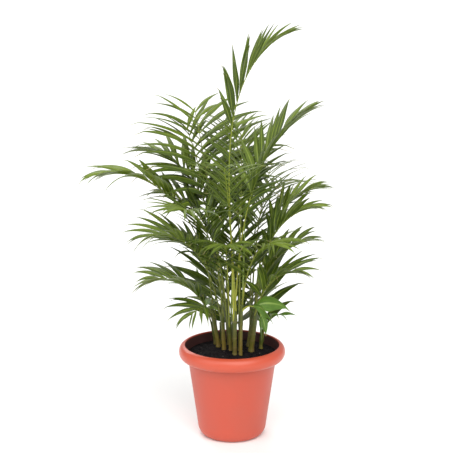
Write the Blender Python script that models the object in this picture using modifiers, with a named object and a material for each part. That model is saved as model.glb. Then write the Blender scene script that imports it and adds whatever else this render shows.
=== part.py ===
"""Potted palm: a clump of slim cane stems, each carrying two or three feathery fronds, growing in
potting mix in a round plastic pot with a rolled rim.

Metres, +Z up. The origin is the middle of the pot's flat underside. +X is the plant's right and
-Y its front. Angles are in degrees; an azimuth of 0 points along +X and 90 along +Y.
"""

import itertools
import math
import random
from collections import namedtuple

import bmesh
import bpy
from mathutils import Vector
from mathutils.bvhtree import BVHTree

# ---------------------------------------------------------------- driving dimensions

# Pot. The radii are those of its inner face; the wall grows outwards from it.
POT_HEIGHT = 0.243
POT_WALL = 0.003
LIP_RADIUS = 0.1235
NECK_INSET = 0.013
NECK_DROP = 0.048
HEEL_RADIUS = 0.085
HEEL_HEIGHT = 0.030
HEEL_CORNER = 0.017
ROLL_REACH = 0.015
ROLL_DROP = 0.036
ROLL_END = -62.0
DRAIN_RADIUS = 0.0045
DRAIN_INSET = 0.020
DRAIN_COUNT = 6

# Potting mix, stems and petioles.
SOIL_BELOW_LIP = 0.024
SOIL_CROWN = 0.006
STEM_BURIED = 0.028
STEM_WAIST = 0.94
STEM_CROWN = 0.0006
KNEE_ABOVE_SOIL = 0.002
PETIOLE_RADIUS = 0.0026
PETIOLE_CLASP = 1.15
CLASP_LENGTH = 0.020
RACHIS_TIP_RADIUS = 0.0009
SPEAR_RADIUS = 0.0019

# Leaflets.
LEAFLET_WIDTH = 0.020
LEAFLET_THICKNESS = 0.0009
LEAFLET_BASE_WIDTH = 0.0055
LEAFLET_TILT = 30.0
WIDEST_SHARE = 0.4
OPEN_FAN = 50.0
FAN_AT_TIP = 0.60
RAISE_ANGLES = (32.0, 12.0)
DROOP = 50.0
FORK_SHARE = 0.985

# Clearances.
SEAT_GAP = 0.0003
STEM_HOLE_GAP = 0.0006
LEAF_BASE_GAP = 0.0010
LEAF_ROOM = 0.0008
STALK_ROOM = 1.6
RIM_ROOM = 0.006

# Facets: sides round the pot and the stems, the petiole's rings, and a leaflet's sections.
TURN_STEPS = 40
STEM_SIDES = 12
PETIOLE_STEP = 0.060
LEAFLET_STATIONS = (0.45,)

# A stem: where it stands in a pot whose mouth has the radius below, how high above the soil it
# splits into leaf bases, its radius, and how far its top leans out. In a wider or narrower pot the
# stems stand further apart or closer together.
STEMS_FOR_LIP = 0.1235
Stem = namedtuple("Stem", "x y height radius lean_x lean_y")
STEMS = {
    "stem_left": Stem(-0.036, 0.040, 0.080, 0.0056, -0.012, 0.000),
    "stem_left_inner": Stem(-0.021, 0.014, 0.092, 0.0054, -0.004, -0.004),
    "stem_middle": Stem(-0.004, 0.004, 0.070, 0.0046, -0.003, -0.006),
    "stem_front": Stem(0.007, -0.030, 0.096, 0.0056, 0.000, -0.006),
    "stem_right_inner": Stem(0.020, 0.000, 0.078, 0.0046, 0.002, -0.004),
    "stem_back": Stem(0.022, 0.074, 0.088, 0.0050, 0.000, 0.012),
    "stem_right": Stem(0.050, 0.004, 0.100, 0.0072, 0.010, -0.006),
    "stem_right_back": Stem(0.044, 0.044, 0.086, 0.0056, 0.010, 0.006),
    "stem_left_back": Stem(-0.008, 0.056, 0.090, 0.0054, -0.006, 0.008),
    "shoot_left": Stem(-0.044, 0.070, 0.035, 0.0048, -0.004, 0.002),
    "shoot_middle": Stem(0.004, 0.092, 0.030, 0.0048, 0.000, 0.002),
    "shoot_front": Stem(0.022, -0.030, 0.112, 0.0044, 0.002, -0.004),
    "shoot_back_left": Stem(-0.027, 0.079, 0.030, 0.0046, -0.002, 0.002),
    "shoot_back_right": Stem(0.046, 0.076, 0.030, 0.0046, 0.002, 0.002),
    "shoot_right": Stem(0.076, 0.036, 0.025, 0.0048, 0.002, 0.002),
}

# A frond: its stem, the azimuth that it arches towards and how far that swings along it, its lean
# from upright at the base and at the tip, how late it bends (1 is an even arc), the lengths of the
# petiole, the blade and the longest leaflet, the pairs of leaflets, the angle that the first ones
# make with the stalk, and their width. The young ones on the shoots have few and broad leaflets.
Frond = namedtuple(
    "Frond",
    "stem azimuth swing lean tip_lean bend petiole blade leaflet pairs fan width",
    defaults=[OPEN_FAN, LEAFLET_WIDTH],
)
FRONDS = {
    "young_front": Frond("shoot_front", 338, 0, 4, 170, 1.0, 0.045, 0.030, 0.125, 2, 46, 0.044),
    "young_middle_rear": Frond("shoot_middle", 268, 0, 0, 6, 1.4, 0.014, 0.240, 0.175, 11, 50, 0.036),
    "young_back_left": Frond("shoot_back_left", 272, 0, 0, 8, 1.4, 0.014, 0.200, 0.155, 9, 52, 0.034),
    "young_back_right": Frond("shoot_back_right", 280, 0, 0, 10, 1.4, 0.014, 0.210, 0.155, 9, 52, 0.034),
    "young_left_rear": Frond("shoot_left", 86, 0, 4, 40, 1.4, 0.080, 0.130, 0.150, 6, 46, 0.026),
    "young_left_front": Frond("shoot_left", 176, 0, 10, 60, 1.4, 0.070, 0.080, 0.120, 4, 50, 0.022),
    "young_middle_left": Frond("shoot_middle", 140, 0, 4, 30, 1.4, 0.030, 0.100, 0.140, 4, 36, 0.028),
    "young_right_rear": Frond("shoot_right", 92, 0, 5, 34, 1.4, 0.040, 0.190, 0.145, 7, 36, 0.034),
    "young_right_front": Frond("shoot_right", 326, 0, 6, 70, 1.3, 0.045, 0.050, 0.100, 3, 46, 0.028),
    "frond_top": Frond("stem_front", 14, -16, -3.7, 58, 4.0, 0.490, 0.250, 0.155, 13, 34, 0.017),
    "frond_right_high": Frond("stem_front", 30, -24, 4, 52, 2.3, 0.325, 0.235, 0.155, 14, 40, 0.019),
    "frond_front_high": Frond("stem_front", 256, 10, 6, 58, 2.0, 0.270, 0.200, 0.145, 12, 44),
    "frond_left_high": Frond("stem_left_inner", 114, 4, 12, 26, 1.3, 0.285, 0.250, 0.220, 14, 68, 0.027),
    "frond_left_mid": Frond("stem_left_inner", 206, -6, 13, 100, 2.2, 0.140, 0.185, 0.150, 11),
    "frond_left_front": Frond("stem_left_inner", 240, 8, 10, 78, 1.8, 0.215, 0.195, 0.150, 11),
    "frond_left_long": Frond("stem_left", 188, 14, 5, 94, 1.8, 0.325, 0.215, 0.140, 13, 44, 0.019),
    "frond_left_low": Frond("stem_left", 200, -20, 26, 102, 1.6, 0.050, 0.150, 0.145, 10),
    "frond_left_lowest": Frond("stem_left", 246, -16, 34, 112, 1.1, 0.030, 0.090, 0.105, 7),
    "frond_left_upper": Frond("stem_middle", 156, 14, 6, 84, 2.6, 0.225, 0.185, 0.155, 12),
    "frond_front_left": Frond("stem_middle", 262, 8, 8, 78, 1.6, 0.140, 0.190, 0.145, 11, 44),
    "frond_middle": Frond("stem_right_inner", 80, 10, 3, 40, 2.2, 0.270, 0.220, 0.155, 13, 44, 0.022),
    "frond_front_right": Frond("stem_right_inner", 290, 6, 10, 80, 1.6, 0.140, 0.190, 0.140, 11, 44),
    "frond_back_high": Frond("stem_back", 96, 12, 4, 56, 2.2, 0.300, 0.220, 0.155, 12, 48, 0.022),
    "frond_back_right": Frond("stem_back", 50, 12, 8, 80, 1.8, 0.200, 0.200, 0.150, 11),
    "frond_back_low": Frond("stem_back", 112, -8, 8, 50, 1.5, 0.060, 0.200, 0.150, 9, 46, 0.026),
    "frond_right_mid": Frond("stem_right", 346, 0, 4, 76, 2.2, 0.185, 0.155, 0.120, 12, 40, 0.018),
    "frond_right_low": Frond("stem_right", 336, 4, 14, 84, 1.6, 0.055, 0.120, 0.130, 9, 44),
    "frond_right_upper": Frond("stem_right_back", 14, -18, 4, 76, 2.3, 0.245, 0.150, 0.110, 11, 42, 0.014),
    "frond_right_under": Frond("stem_right_back", 350, 16, 10, 72, 1.6, 0.120, 0.130, 0.130, 9, 44),
    "frond_right_rear": Frond("stem_right_back", 66, 10, 6, 70, 1.9, 0.230, 0.200, 0.145, 12, 46),
    "frond_left_rear": Frond("stem_left_back", 150, 16, 6, 84, 2.6, 0.300, 0.200, 0.155, 12),
    "frond_left_under": Frond("stem_left_back", 184, -10, 16, 84, 2.0, 0.110, 0.150, 0.145, 10),
    "frond_back_left": Frond("stem_left_back", 118, 12, 8, 76, 1.8, 0.200, 0.200, 0.150, 11, 48),
    "frond_left_crest": Frond("stem_left_back", 128, 6, 12, 28, 1.3, 0.280, 0.210, 0.200, 12, 64, 0.025),
}

# Unopened leaves: the stem, the length, and the azimuth and angle of the lean.
Spear = namedtuple("Spear", "stem length azimuth lean")
SPEARS = {
    "spear_middle": Spear("stem_middle", 0.240, 30, 2),
    "spear_right_inner": Spear("stem_right_inner", 0.340, 60, 3),
}

# What a leaflet tries, in turn, until it is clear of everything grown so far: more raise, more
# droop and a share of its length.
WAYS = [(0, 0, 1.0), (9, 0, 1.0), (-9, 0, 1.0), (0, 16, 1.0), (0, -16, 1.0), (16, -10, 1.0)]
WAYS += [(-16, 10, 1.0), (24, 0, 1.0), (-24, 0, 1.0), (12, 24, 0.9), (-12, -24, 0.9)]
WAYS += [(0, 0, 0.8), (18, 0, 0.8), (-18, 0, 0.8), (0, 0, 0.6), (14, 0, 0.6), (-14, 0, 0.6)]
WAYS += [(0, 0, 0.42), (20, 0, 0.42), (-20, 0, 0.42)]

UP = Vector((0.0, 0.0, 1.0))
LIP_HEIGHT = POT_HEIGHT - POT_WALL
SOIL_LEVEL = LIP_HEIGHT - SOIL_BELOW_LIP


# ---------------------------------------------------------------- small helpers

def material(name, colour, roughness, metallic=0.0):
    made = bpy.data.materials.new(name)
    made.use_nodes = True
    shader = made.node_tree.nodes["Principled BSDF"]
    shader.inputs["Base Color"].default_value = (*colour, 1.0)
    shader.inputs["Roughness"].default_value = roughness
    shader.inputs["Metallic"].default_value = metallic
    return made


def add_object(name, data, finish, collection):
    made = bpy.data.objects.new(name, data)
    made.data.materials.append(finish)
    collection.objects.link(made)
    return made


def heading(azimuth):
    """The level unit vector at an azimuth."""
    return Vector((math.cos(math.radians(azimuth)), math.sin(math.radians(azimuth)), 0.0))


def arc(centre, radii, start, end, steps):
    """Points (r, z) of an elliptical arc, from one angle to another."""
    turns = [math.radians(start + (end - start) * i / steps) for i in range(steps + 1)]
    return [(centre[0] + radii[0] * math.cos(t), centre[1] + radii[1] * math.sin(t)) for t in turns]


def mix(a, b, share):
    return a + (b - a) * share


# ---------------------------------------------------------------- pot and potting mix

def inner_wall():
    """The pot's inner face from the lip down to the middle of the floor, as (r, z) points."""
    neck = (LIP_RADIUS - NECK_INSET, LIP_HEIGHT - NECK_DROP)
    heel = (HEEL_RADIUS, HEEL_HEIGHT)
    corner_middle = (HEEL_RADIUS - HEEL_CORNER, HEEL_HEIGHT)
    corner = arc(corner_middle, (HEEL_CORNER, HEEL_HEIGHT - POT_WALL), -24, -90, 3)
    return [neck, heel] + corner + [(0.0, POT_WALL)]


def turned(name, profile, finish, collection):
    """A profile in the XZ plane, swept round Z by a Screw modifier."""
    mesh = bpy.data.meshes.new(name)
    points = [(r, 0.0, z) for r, z in profile]
    mesh.from_pydata(points, [(i, i + 1) for i in range(len(points) - 1)], [])
    made = add_object(name, mesh, finish, collection)
    screw = made.modifiers.new("turn", "SCREW")
    screw.steps = TURN_STEPS
    screw.render_steps = TURN_STEPS
    screw.use_merge_vertices = True
    screw.merge_threshold = 0.00002
    screw.use_smooth_shade = True
    return made


def make_pot(finish, collection, cutters):
    """One moulded sheet: the rolled rim, over the lip, down the wall and across the floor."""
    roll_middle = (LIP_RADIUS, LIP_HEIGHT - ROLL_DROP / 2)
    roll = arc(roll_middle, (ROLL_REACH, ROLL_DROP / 2), ROLL_END, 90, 8)
    pot = turned("pot", roll + inner_wall(), finish, collection)
    shell = pot.modifiers.new("wall", "SOLIDIFY")
    shell.thickness = POT_WALL
    shell.offset = 1.0
    shell.use_even_offset = True
    for i in range(DRAIN_COUNT):
        place = heading(360.0 * i / DRAIN_COUNT) * (HEEL_RADIUS - HEEL_CORNER - DRAIN_INSET)
        bpy.ops.mesh.primitive_cylinder_add(
            vertices=10, radius=DRAIN_RADIUS, depth=POT_WALL * 4, location=place
        )
        cut_by(pot, bpy.context.object, f"drain_{i + 1}", cutters)
    return pot


def cut_by(body, cutter, name, cutters):
    """Takes the cutter's shape out of the body, and files the cutter away."""
    cutter.name = "cutter_" + name
    cutter.hide_render = True
    cutter.display_type = "WIRE"
    for home in list(cutter.users_collection):
        home.objects.unlink(cutter)
    cutters.objects.link(cutter)
    cut = body.modifiers.new(name, "BOOLEAN")
    cut.operation = "DIFFERENCE"
    cut.object = cutter


def make_soil(finish, collection, cutters):
    """The potting mix: it fills the pot up to its level, crowned a little, with a hole round each stem."""
    gap = SEAT_GAP * 1.5
    neck, heel, *corner, _ = inner_wall()
    edge = LIP_RADIUS - NECK_INSET * SOIL_BELOW_LIP / NECK_DROP - gap
    top = [(0.0, SOIL_LEVEL + SOIL_CROWN), (edge * 0.45, SOIL_LEVEL + SOIL_CROWN * 0.8)]
    top += [(edge * 0.8, SOIL_LEVEL + SOIL_CROWN * 0.2), (edge, SOIL_LEVEL)]
    side = [(r - gap, z + gap) for r, z in [neck, heel] + corner]
    soil = turned("potting_mix", top + side + [(0.0, POT_WALL + gap)], finish, collection)
    for name, stem in STEMS.items():
        bpy.ops.mesh.primitive_cylinder_add(
            vertices=STEM_SIDES,
            radius=stem.radius + STEM_HOLE_GAP,
            depth=2 * (STEM_BURIED + SEAT_GAP),
            location=stem_foot(stem, SOIL_LEVEL),
        )
        cut_by(soil, bpy.context.object, name, cutters)
    return soil


# ---------------------------------------------------------------- stems and unopened leaves

def tube(name, points, radii, resolution, finish, collection):
    """A round stem through points, with its own radius at each."""
    curve = bpy.data.curves.new(name, "CURVE")
    curve.dimensions = "3D"
    curve.bevel_depth = 1.0
    curve.bevel_resolution = resolution
    curve.use_fill_caps = True
    spline = curve.splines.new("POLY")
    spline.points.add(len(points) - 1)
    for target, place, radius in zip(spline.points, points, radii):
        target.co = (*place, 1.0)
        target.radius = radius
    return add_object(name, curve, finish, collection)


def stem_foot(stem, level):
    """Where a stem stands, at a level in the pot."""
    spread = LIP_RADIUS / STEMS_FOR_LIP
    return Vector((stem.x * spread, stem.y * spread, level))


def stem_top(stem):
    return stem_foot(stem, SOIL_LEVEL + stem.height) + Vector((stem.lean_x, stem.lean_y, 0.0))


def make_stem(name, stem, finish, collection):
    """A cane: upright in the potting mix, then leaning out, a little slimmer at the waist."""
    foot = stem_foot(stem, SOIL_LEVEL - STEM_BURIED)
    knee = stem_foot(stem, SOIL_LEVEL + SOIL_CROWN + KNEE_ABOVE_SOIL)
    top = stem_top(stem)
    points = [foot, knee] + [knee.lerp(top, share) for share in (0.35, 0.7)] + [top - UP * STEM_CROWN, top]
    shares = (1.0, 1.0, STEM_WAIST, STEM_WAIST, 1.0, 1.0)
    return tube(name, points, [stem.radius * s for s in shares], 2, finish, collection)


def leaves_of(stem):
    """{leaf: azimuth} of the fronds and the spear on a stem."""
    return {name: leaf.azimuth for name, leaf in (*FRONDS.items(), *SPEARS.items()) if leaf.stem == stem}


def leaf_turns(stem):
    """{leaf: azimuth} of the leaf bases round a stem's top, each as near as can be to where it leans."""
    held = leaves_of(stem)
    gap = 360 / len(held)

    def ways():
        for start in range(0, round(gap), 10):
            for order in itertools.permutations(held):
                yield {name: start + gap * i for i, name in enumerate(order)}

    return max(ways(), key=lambda turns: sum(math.cos(math.radians(turns[n] - held[n])) for n in held))


def leaf_base(name, leaf, radius):
    """Where a petiole or spear starts: beside its neighbours, its lowest corner just clear of the stem."""
    neighbours = len(leaves_of(leaf.stem)) - 1
    aside = 0.0
    if neighbours:
        half_turn = math.pi / (neighbours + 1)
        aside = (PETIOLE_RADIUS * PETIOLE_CLASP + LEAF_BASE_GAP / 2) / math.sin(half_turn)
    lift = SEAT_GAP + radius * math.sin(math.radians(abs(leaf.lean)))
    return stem_top(STEMS[leaf.stem]) + heading(leaf_turns(leaf.stem)[name]) * aside + UP * lift


def spear_ends(name, spear):
    start, lean = leaf_base(name, spear, SPEAR_RADIUS), math.radians(spear.lean)
    return start, start + (heading(spear.azimuth) * math.sin(lean) + UP * math.cos(lean)) * spear.length


def make_spear(name, spear, finish, collection):
    """A new leaf, still folded into a thin pointed rod."""
    start, end = spear_ends(name, spear)
    tapers = {0.0: 1.0, 0.2: 1.0, 0.5: 0.85, 0.8: 0.55, 1.0: 0.12}
    points = [start.lerp(end, share) for share in tapers]
    return tube(name, points, [SPEAR_RADIUS * taper for taper in tapers.values()], 1, finish, collection)


# ---------------------------------------------------------------- the line that a frond follows

class Rachis:
    """The midline of a frond: a point, a direction and a radius for each distance from its base."""

    STEPS = 200

    def __init__(self, name, frond):
        self.length = frond.petiole + frond.blade
        self.frond = frond
        self.points = [leaf_base(name, frond, self.radius(0.0))]
        for i in range(self.STEPS):
            step = self.tangent((i + 0.5) / self.STEPS * self.length) * self.length / self.STEPS
            self.points.append(self.points[-1] + step)

    def tangent(self, distance):
        share = distance / self.length
        lean = math.radians(mix(self.frond.lean, self.frond.tip_lean, share**self.frond.bend))
        level = heading(self.frond.azimuth + self.frond.swing * share)
        return level * math.sin(lean) + UP * math.cos(lean)

    def point(self, distance):
        at = min(distance / self.length, 1.0) * self.STEPS
        i = min(int(at), self.STEPS - 1)
        return self.points[i].lerp(self.points[i + 1], at - i)

    def side(self, distance):
        """To the right, looking along the frond with its upper face up."""
        share = distance / self.length
        return heading(self.frond.azimuth + self.frond.swing * share - 90)

    def radius(self, distance):
        """Swollen where it clasps the stem, then tapering to the tip."""
        share = distance / self.length
        clasp = 1 + (PETIOLE_CLASP - 1) * math.exp(-distance / CLASP_LENGTH)
        return mix(PETIOLE_RADIUS * clasp, RACHIS_TIP_RADIUS, share**0.8)

    def corners(self, distance):
        """The four corners of the cross-section: top, right, bottom and left."""
        middle, along, right = self.point(distance), self.tangent(distance), self.side(distance)
        up, size = right.cross(along), self.radius(distance)
        return [middle + way * size for way in (up, right, -up, -right)]


# ---------------------------------------------------------------- leaflets

class Leaflet:
    """A narrow blade: it leaves the rachis in one direction and arcs over towards the ground."""

    def __init__(self, base, ahead, edge, hand, length, width, droop):
        self.base, self.hand, self.length, self.width = base, hand, length, width
        self.ahead, self.edge = ahead.normalized(), edge
        across = self.ahead.cross(-UP)
        self.turn = math.radians(droop) * across.length
        self.down = across.cross(self.ahead).normalized()

    def point(self, share):
        """An arc of a circle: it has turned by `turn` at the tip."""
        turn = self.turn * share
        if self.turn < 1e-4:
            return self.base + self.ahead * self.length * share
        radius = self.length / self.turn
        return self.base + self.ahead * radius * math.sin(turn) + self.down * radius * (1 - math.cos(turn))

    def direction(self, share):
        turn = self.turn * share
        return self.ahead * math.cos(turn) + self.down * math.sin(turn)

    def half_width(self, share):
        """Narrow at the base, widest before the middle, drawn out to a point."""
        full = mix(LEAFLET_BASE_WIDTH, self.width, min(1.0, share / WIDEST_SHARE))
        return full / 2 * (1 - share**2.6) ** 0.8

    def corners(self, share, spare=0.0):
        """Near top, near bottom, far bottom and far top corners of the cross-section, with room to spare."""
        along = self.direction(share)
        across = (self.edge - along * self.edge.dot(along)).normalized()
        normal = along.cross(across).normalized() * self.hand
        middle, half = self.point(share), across * (self.half_width(share) + spare)
        rise = normal * (LEAFLET_THICKNESS / 2 + spare)
        return [middle - half + rise, middle - half - rise, middle + half - rise, middle + half + rise]

    def envelope(self, spare):
        """A closed envelope round the leaflet, for testing what it touches."""
        return lofted([self.corners(share, spare) for share in (0.0, *LEAFLET_STATIONS, 1.0)])


def leaflet_at(rachis, share, hand, more_raise, more_droop, length_share, wobble):
    """The leaflet that sits at a share of the blade, on one hand (1 right, -1 left)."""
    frond = rachis.frond
    distance = frond.petiole + frond.blade * share
    along, right = rachis.tangent(distance), rachis.side(distance) * hand
    up = right.cross(along) * hand
    fan = math.radians(frond.fan * mix(1.0, FAN_AT_TIP, share**1.3) + 5 * wobble[0])
    lift = math.radians(mix(*RAISE_ANGLES, share) + 6 * wobble[1] + more_raise)
    outward = right * math.cos(lift) + up * math.sin(lift)
    ahead = along * math.cos(fan) + outward * math.sin(fan)
    normal = up * math.cos(lift) - right * math.sin(lift)
    edge = (along * math.sin(fan) - outward * math.cos(fan)).normalized()
    tilt = math.radians(LEAFLET_TILT)
    edge = edge * math.cos(tilt) - normal * math.sin(tilt)
    size = 0.4 + 0.6 * math.sin(math.pi * (0.2 + 0.78 * share))
    length = frond.leaflet * size * (1 + 0.06 * wobble[2]) * length_share
    width = frond.width * (1 - 0.45 * share)
    droop = DROOP * (1 + 0.25 * wobble[3]) + more_droop
    base = rachis.point(distance) + outward * rachis.radius(distance) * 0.7
    return Leaflet(base, ahead, edge, hand, length, width, droop)


class Room:
    """Remembers the space taken so far, so that no two pieces of the plant run through each other."""

    def __init__(self):
        self.taken = []

    def add(self, owner, points, faces):
        tree = BVHTree.FromPolygons(points, faces)
        low = [min(p[k] for p in points) for k in range(3)]
        high = [max(p[k] for p in points) for k in range(3)]
        self.taken.append((owner, low, high, tree))

    def clear(self, points, faces, skip):
        low = [min(p[k] for p in points) for k in range(3)]
        high = [max(p[k] for p in points) for k in range(3)]
        tree = None
        for owner, other_low, other_high, other in self.taken:
            if owner in skip or any(low[k] > other_high[k] or high[k] < other_low[k] for k in range(3)):
                continue
            tree = tree or BVHTree.FromPolygons(points, faces)
            if tree.overlap(other):
                return False
        return True


def lofted(rings):
    """Points and faces of a closed envelope through rings of corners."""
    points = [point for ring in rings for point in ring]
    sides, last = len(rings[0]), len(points) - len(rings[0])
    faces = [tuple(range(sides)), tuple(range(len(points) - 1, last - 1, -1))]
    for at in range(0, last, sides):
        for i in range(sides):
            after = (i + 1) % sides
            faces.append((at + i, at + i + sides, at + after + sides, at + after))
    return points, faces


def round_post(radius, foot, top, sides):
    """The envelope of a post from one point up to another."""
    return lofted([[end + heading(360 * i / sides) * radius for i in range(sides)] for end in (foot, top)])


def pair_shares(frond):
    """Where along the blade the pairs of leaflets sit; the last pair makes the fork at the tip."""
    return [FORK_SHARE * pair / (frond.pairs - 1) for pair in range(frond.pairs)]


def stalk_ring(rachis, distance):
    """A cross-section of the stalk with room to spare round it."""
    middle = rachis.point(distance)
    return [middle + (corner - middle) * STALK_ROOM for corner in rachis.corners(distance)]


def room_of_stalks(rachises):
    """The room that the pot, the stems, the spears and the stalks of the fronds take up."""
    room = Room()
    rim = LIP_RADIUS + ROLL_REACH + RIM_ROOM
    room.add("pot", *round_post(rim, Vector(), UP * (LIP_HEIGHT + RIM_ROOM), TURN_STEPS))
    for name, stem in STEMS.items():
        foot = stem_foot(stem, SOIL_LEVEL)
        room.add(name, *round_post(stem.radius * STALK_ROOM, foot, stem_top(stem), STEM_SIDES))
    for name, spear in SPEARS.items():
        room.add(name, *round_post(SPEAR_RADIUS * STALK_ROOM, *spear_ends(name, spear), STEM_SIDES))
    for name, rachis in rachises.items():
        stops = ring_stops(rachis.frond, pair_shares(rachis.frond))
        room.add(name, *lofted([stalk_ring(rachis, stop) for stop in stops]))
    return room


def grow_leaflets(rachises):
    """{frond: {(pair, hand): leaflet}}: each leaflet takes the first way that has room for it."""
    room = room_of_stalks(rachises)
    grown = {name: {} for name in rachises}
    for name, rachis in rachises.items():
        chance = random.Random(name)
        for pair, share in enumerate(pair_shares(rachis.frond)):
            for hand in (1, -1):
                wobble = [chance.uniform(-1, 1) for _ in range(4)]
                for way in WAYS:
                    leaflet = leaflet_at(rachis, share, hand, *way, wobble)
                    if room.clear(*leaflet.envelope(LEAF_ROOM), skip=(name, (name, pair))):
                        room.add((name, pair), *leaflet.envelope(LEAF_ROOM / 4))
                        grown[name][pair, hand] = leaflet
                        break
    return grown


# ---------------------------------------------------------------- the solid of a frond

# The corners of a rachis section, in order round it, as the corners of a cube's end face.
SECTION_CORNERS = {(True, True): 0, (False, True): 1, (False, False): 2, (True, False): 3}


def draw_out(mesh, face, places):
    """Extrudes a face, and puts the new corners at the places, in the face's own order."""
    grown = bmesh.ops.extrude_discrete_faces(mesh, faces=[face])["faces"][0]
    for vert, place in zip(grown.verts, places):
        vert.co = place
    return grown


def sprout(mesh, old_ring, new_ring, side, leaflet):
    """Draws a leaflet out of the face between two rings' top corner and the one on its side."""
    known = {old_ring[0]: 0, old_ring[side]: 1, new_ring[side]: 2, new_ring[0]: 3}
    face = next(f for f in old_ring[0].link_faces if set(f.verts) == set(known))
    order = [known[vert] for vert in face.verts]
    for share in LEAFLET_STATIONS:
        corners = leaflet.corners(share)
        face = draw_out(mesh, face, [corners[i] for i in order])
    face = draw_out(mesh, face, [leaflet.point(1.0)] * 4)
    bmesh.ops.pointmerge(mesh, verts=list(face.verts), merge_co=leaflet.point(1.0))


def ring_stops(frond, shares):
    """How far along a frond its rings stand: a plain petiole, then two close rings at each pair."""
    petiole_rings = max(2, round(frond.petiole / PETIOLE_STEP))
    stops = [frond.petiole * i / petiole_rings for i in range(petiole_rings)]
    for share in shares:
        middle = frond.petiole + frond.blade * share
        stops += [middle - LEAFLET_BASE_WIDTH / 2, middle + LEAFLET_BASE_WIDTH / 2]
    return stops


def make_frond(name, rachis, leaflets, finish, collection):
    """One closed solid: a stalk drawn up ring by ring, with the leaflets drawn out of its sides."""
    frond = rachis.frond
    shares = pair_shares(frond)
    stops = ring_stops(frond, shares)
    mesh = bmesh.new()
    cube = bmesh.ops.create_cube(mesh, size=1.0)["verts"]
    order = {vert: SECTION_CORNERS[vert.co.x > 0, vert.co.y > 0] for vert in cube}
    upper = [vert for vert in cube if vert.co.z > 0]
    for vert in cube:
        vert.co = rachis.corners(stops[1] if vert in upper else stops[0])[order[vert]]
    head = next(f for f in mesh.faces if set(f.verts) == set(upper))
    order = [order[vert] for vert in head.verts]
    ring = sorted(head.verts, key=lambda vert: order[list(head.verts).index(vert)])
    rings = [ring]
    for stop in stops[2:]:
        corners = rachis.corners(stop)
        head = draw_out(mesh, head, [corners[i] for i in order])
        verts = list(head.verts)
        rings.append([verts[order.index(i)] for i in range(4)])
    first = len(rings) - 2 * len(shares)
    for pair in range(len(shares)):
        lower, higher = rings[first + 2 * pair], rings[first + 2 * pair + 1]
        for hand, side in ((1, 1), (-1, 3)):
            if (pair, hand) in leaflets:
                sprout(mesh, lower, higher, side, leaflets[pair, hand])
    data = bpy.data.meshes.new(name)
    mesh.to_mesh(data)
    mesh.free()
    return add_object(name, data, finish, collection)


# ---------------------------------------------------------------- everything together

def clear_scene():
    for item in list(bpy.data.objects):
        bpy.data.objects.remove(item, do_unlink=True)


def new_collection(name):
    made = bpy.data.collections.new(name)
    bpy.context.scene.collection.children.link(made)
    return made


def main():
    clear_scene()
    palm = new_collection("potted_palm")
    cutters = new_collection("cutters")

    plastic = material("coral_plastic", (0.60, 0.13, 0.07), 0.38)
    peat = material("potting_mix", (0.018, 0.012, 0.009), 0.95)
    cane = material("green_cane", (0.24, 0.30, 0.07), 0.5)
    leaf = material("palm_leaf", (0.045, 0.13, 0.02), 0.45)
    young = material("young_leaf", (0.22, 0.36, 0.06), 0.45)

    make_pot(plastic, palm, cutters)
    make_soil(peat, palm, cutters)
    for name, stem in STEMS.items():
        make_stem(name, stem, cane, palm)
    for name, spear in SPEARS.items():
        make_spear(name, spear, young, palm)
    rachises = {name: Rachis(name, frond) for name, frond in FRONDS.items()}
    leaflets = grow_leaflets(rachises)
    for name, rachis in rachises.items():
        make_frond(name, rachis, leaflets[name], leaf, palm)


main()
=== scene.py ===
# %% [markdown]
# # A feather palm in a coral plastic pot
# The plant is a clump of slim canes. Each cane carries one to four fronds, and each frond is a stalk with
# two rows of narrow leaflets. The clump stands in dark potting mix, in a round moulded pot with a rolled rim.
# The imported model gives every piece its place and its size. Here each of its solids is replaced by a finer
# piece in the same space, with a material of its own. Lengths are metres, +Z is up and -Y is the front.

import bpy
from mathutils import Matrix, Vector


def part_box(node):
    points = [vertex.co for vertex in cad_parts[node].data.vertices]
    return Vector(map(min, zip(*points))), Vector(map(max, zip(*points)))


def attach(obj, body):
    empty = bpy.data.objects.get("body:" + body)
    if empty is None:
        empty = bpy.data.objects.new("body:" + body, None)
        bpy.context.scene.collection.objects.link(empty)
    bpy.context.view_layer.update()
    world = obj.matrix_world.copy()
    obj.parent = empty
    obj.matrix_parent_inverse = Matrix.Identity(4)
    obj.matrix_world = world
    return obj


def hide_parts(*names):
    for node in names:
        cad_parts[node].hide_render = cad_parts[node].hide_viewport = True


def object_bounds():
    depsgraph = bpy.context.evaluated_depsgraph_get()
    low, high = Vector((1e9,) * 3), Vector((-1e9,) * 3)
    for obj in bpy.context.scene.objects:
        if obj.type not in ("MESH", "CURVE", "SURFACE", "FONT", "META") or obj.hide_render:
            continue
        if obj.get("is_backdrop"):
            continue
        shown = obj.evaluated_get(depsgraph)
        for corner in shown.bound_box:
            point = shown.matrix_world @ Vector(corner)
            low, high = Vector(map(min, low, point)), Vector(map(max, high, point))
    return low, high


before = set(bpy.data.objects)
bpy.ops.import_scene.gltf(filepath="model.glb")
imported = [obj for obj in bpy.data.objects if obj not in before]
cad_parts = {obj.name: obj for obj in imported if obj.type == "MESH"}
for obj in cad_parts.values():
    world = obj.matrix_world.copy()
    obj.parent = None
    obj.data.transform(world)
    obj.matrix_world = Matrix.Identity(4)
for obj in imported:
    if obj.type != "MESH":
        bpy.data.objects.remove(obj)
cad_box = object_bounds()
print("nodes:", len(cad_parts), "box:", [round(c, 3) for corner in cad_box for c in corner])

# %% Tools of the bench
import math
import random
from collections import namedtuple
from itertools import permutations

import bpy
from mathutils import Matrix, Vector, noise
from mathutils.bvhtree import BVHTree

UP = Vector((0.0, 0.0, 1.0))
MILLIMETRE = 0.001


def heading(azimuth):
    """The level unit vector at an azimuth in degrees: 0 is +X and 90 is +Y."""
    return Vector((math.cos(math.radians(azimuth)), math.sin(math.radians(azimuth)), 0.0))


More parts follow.
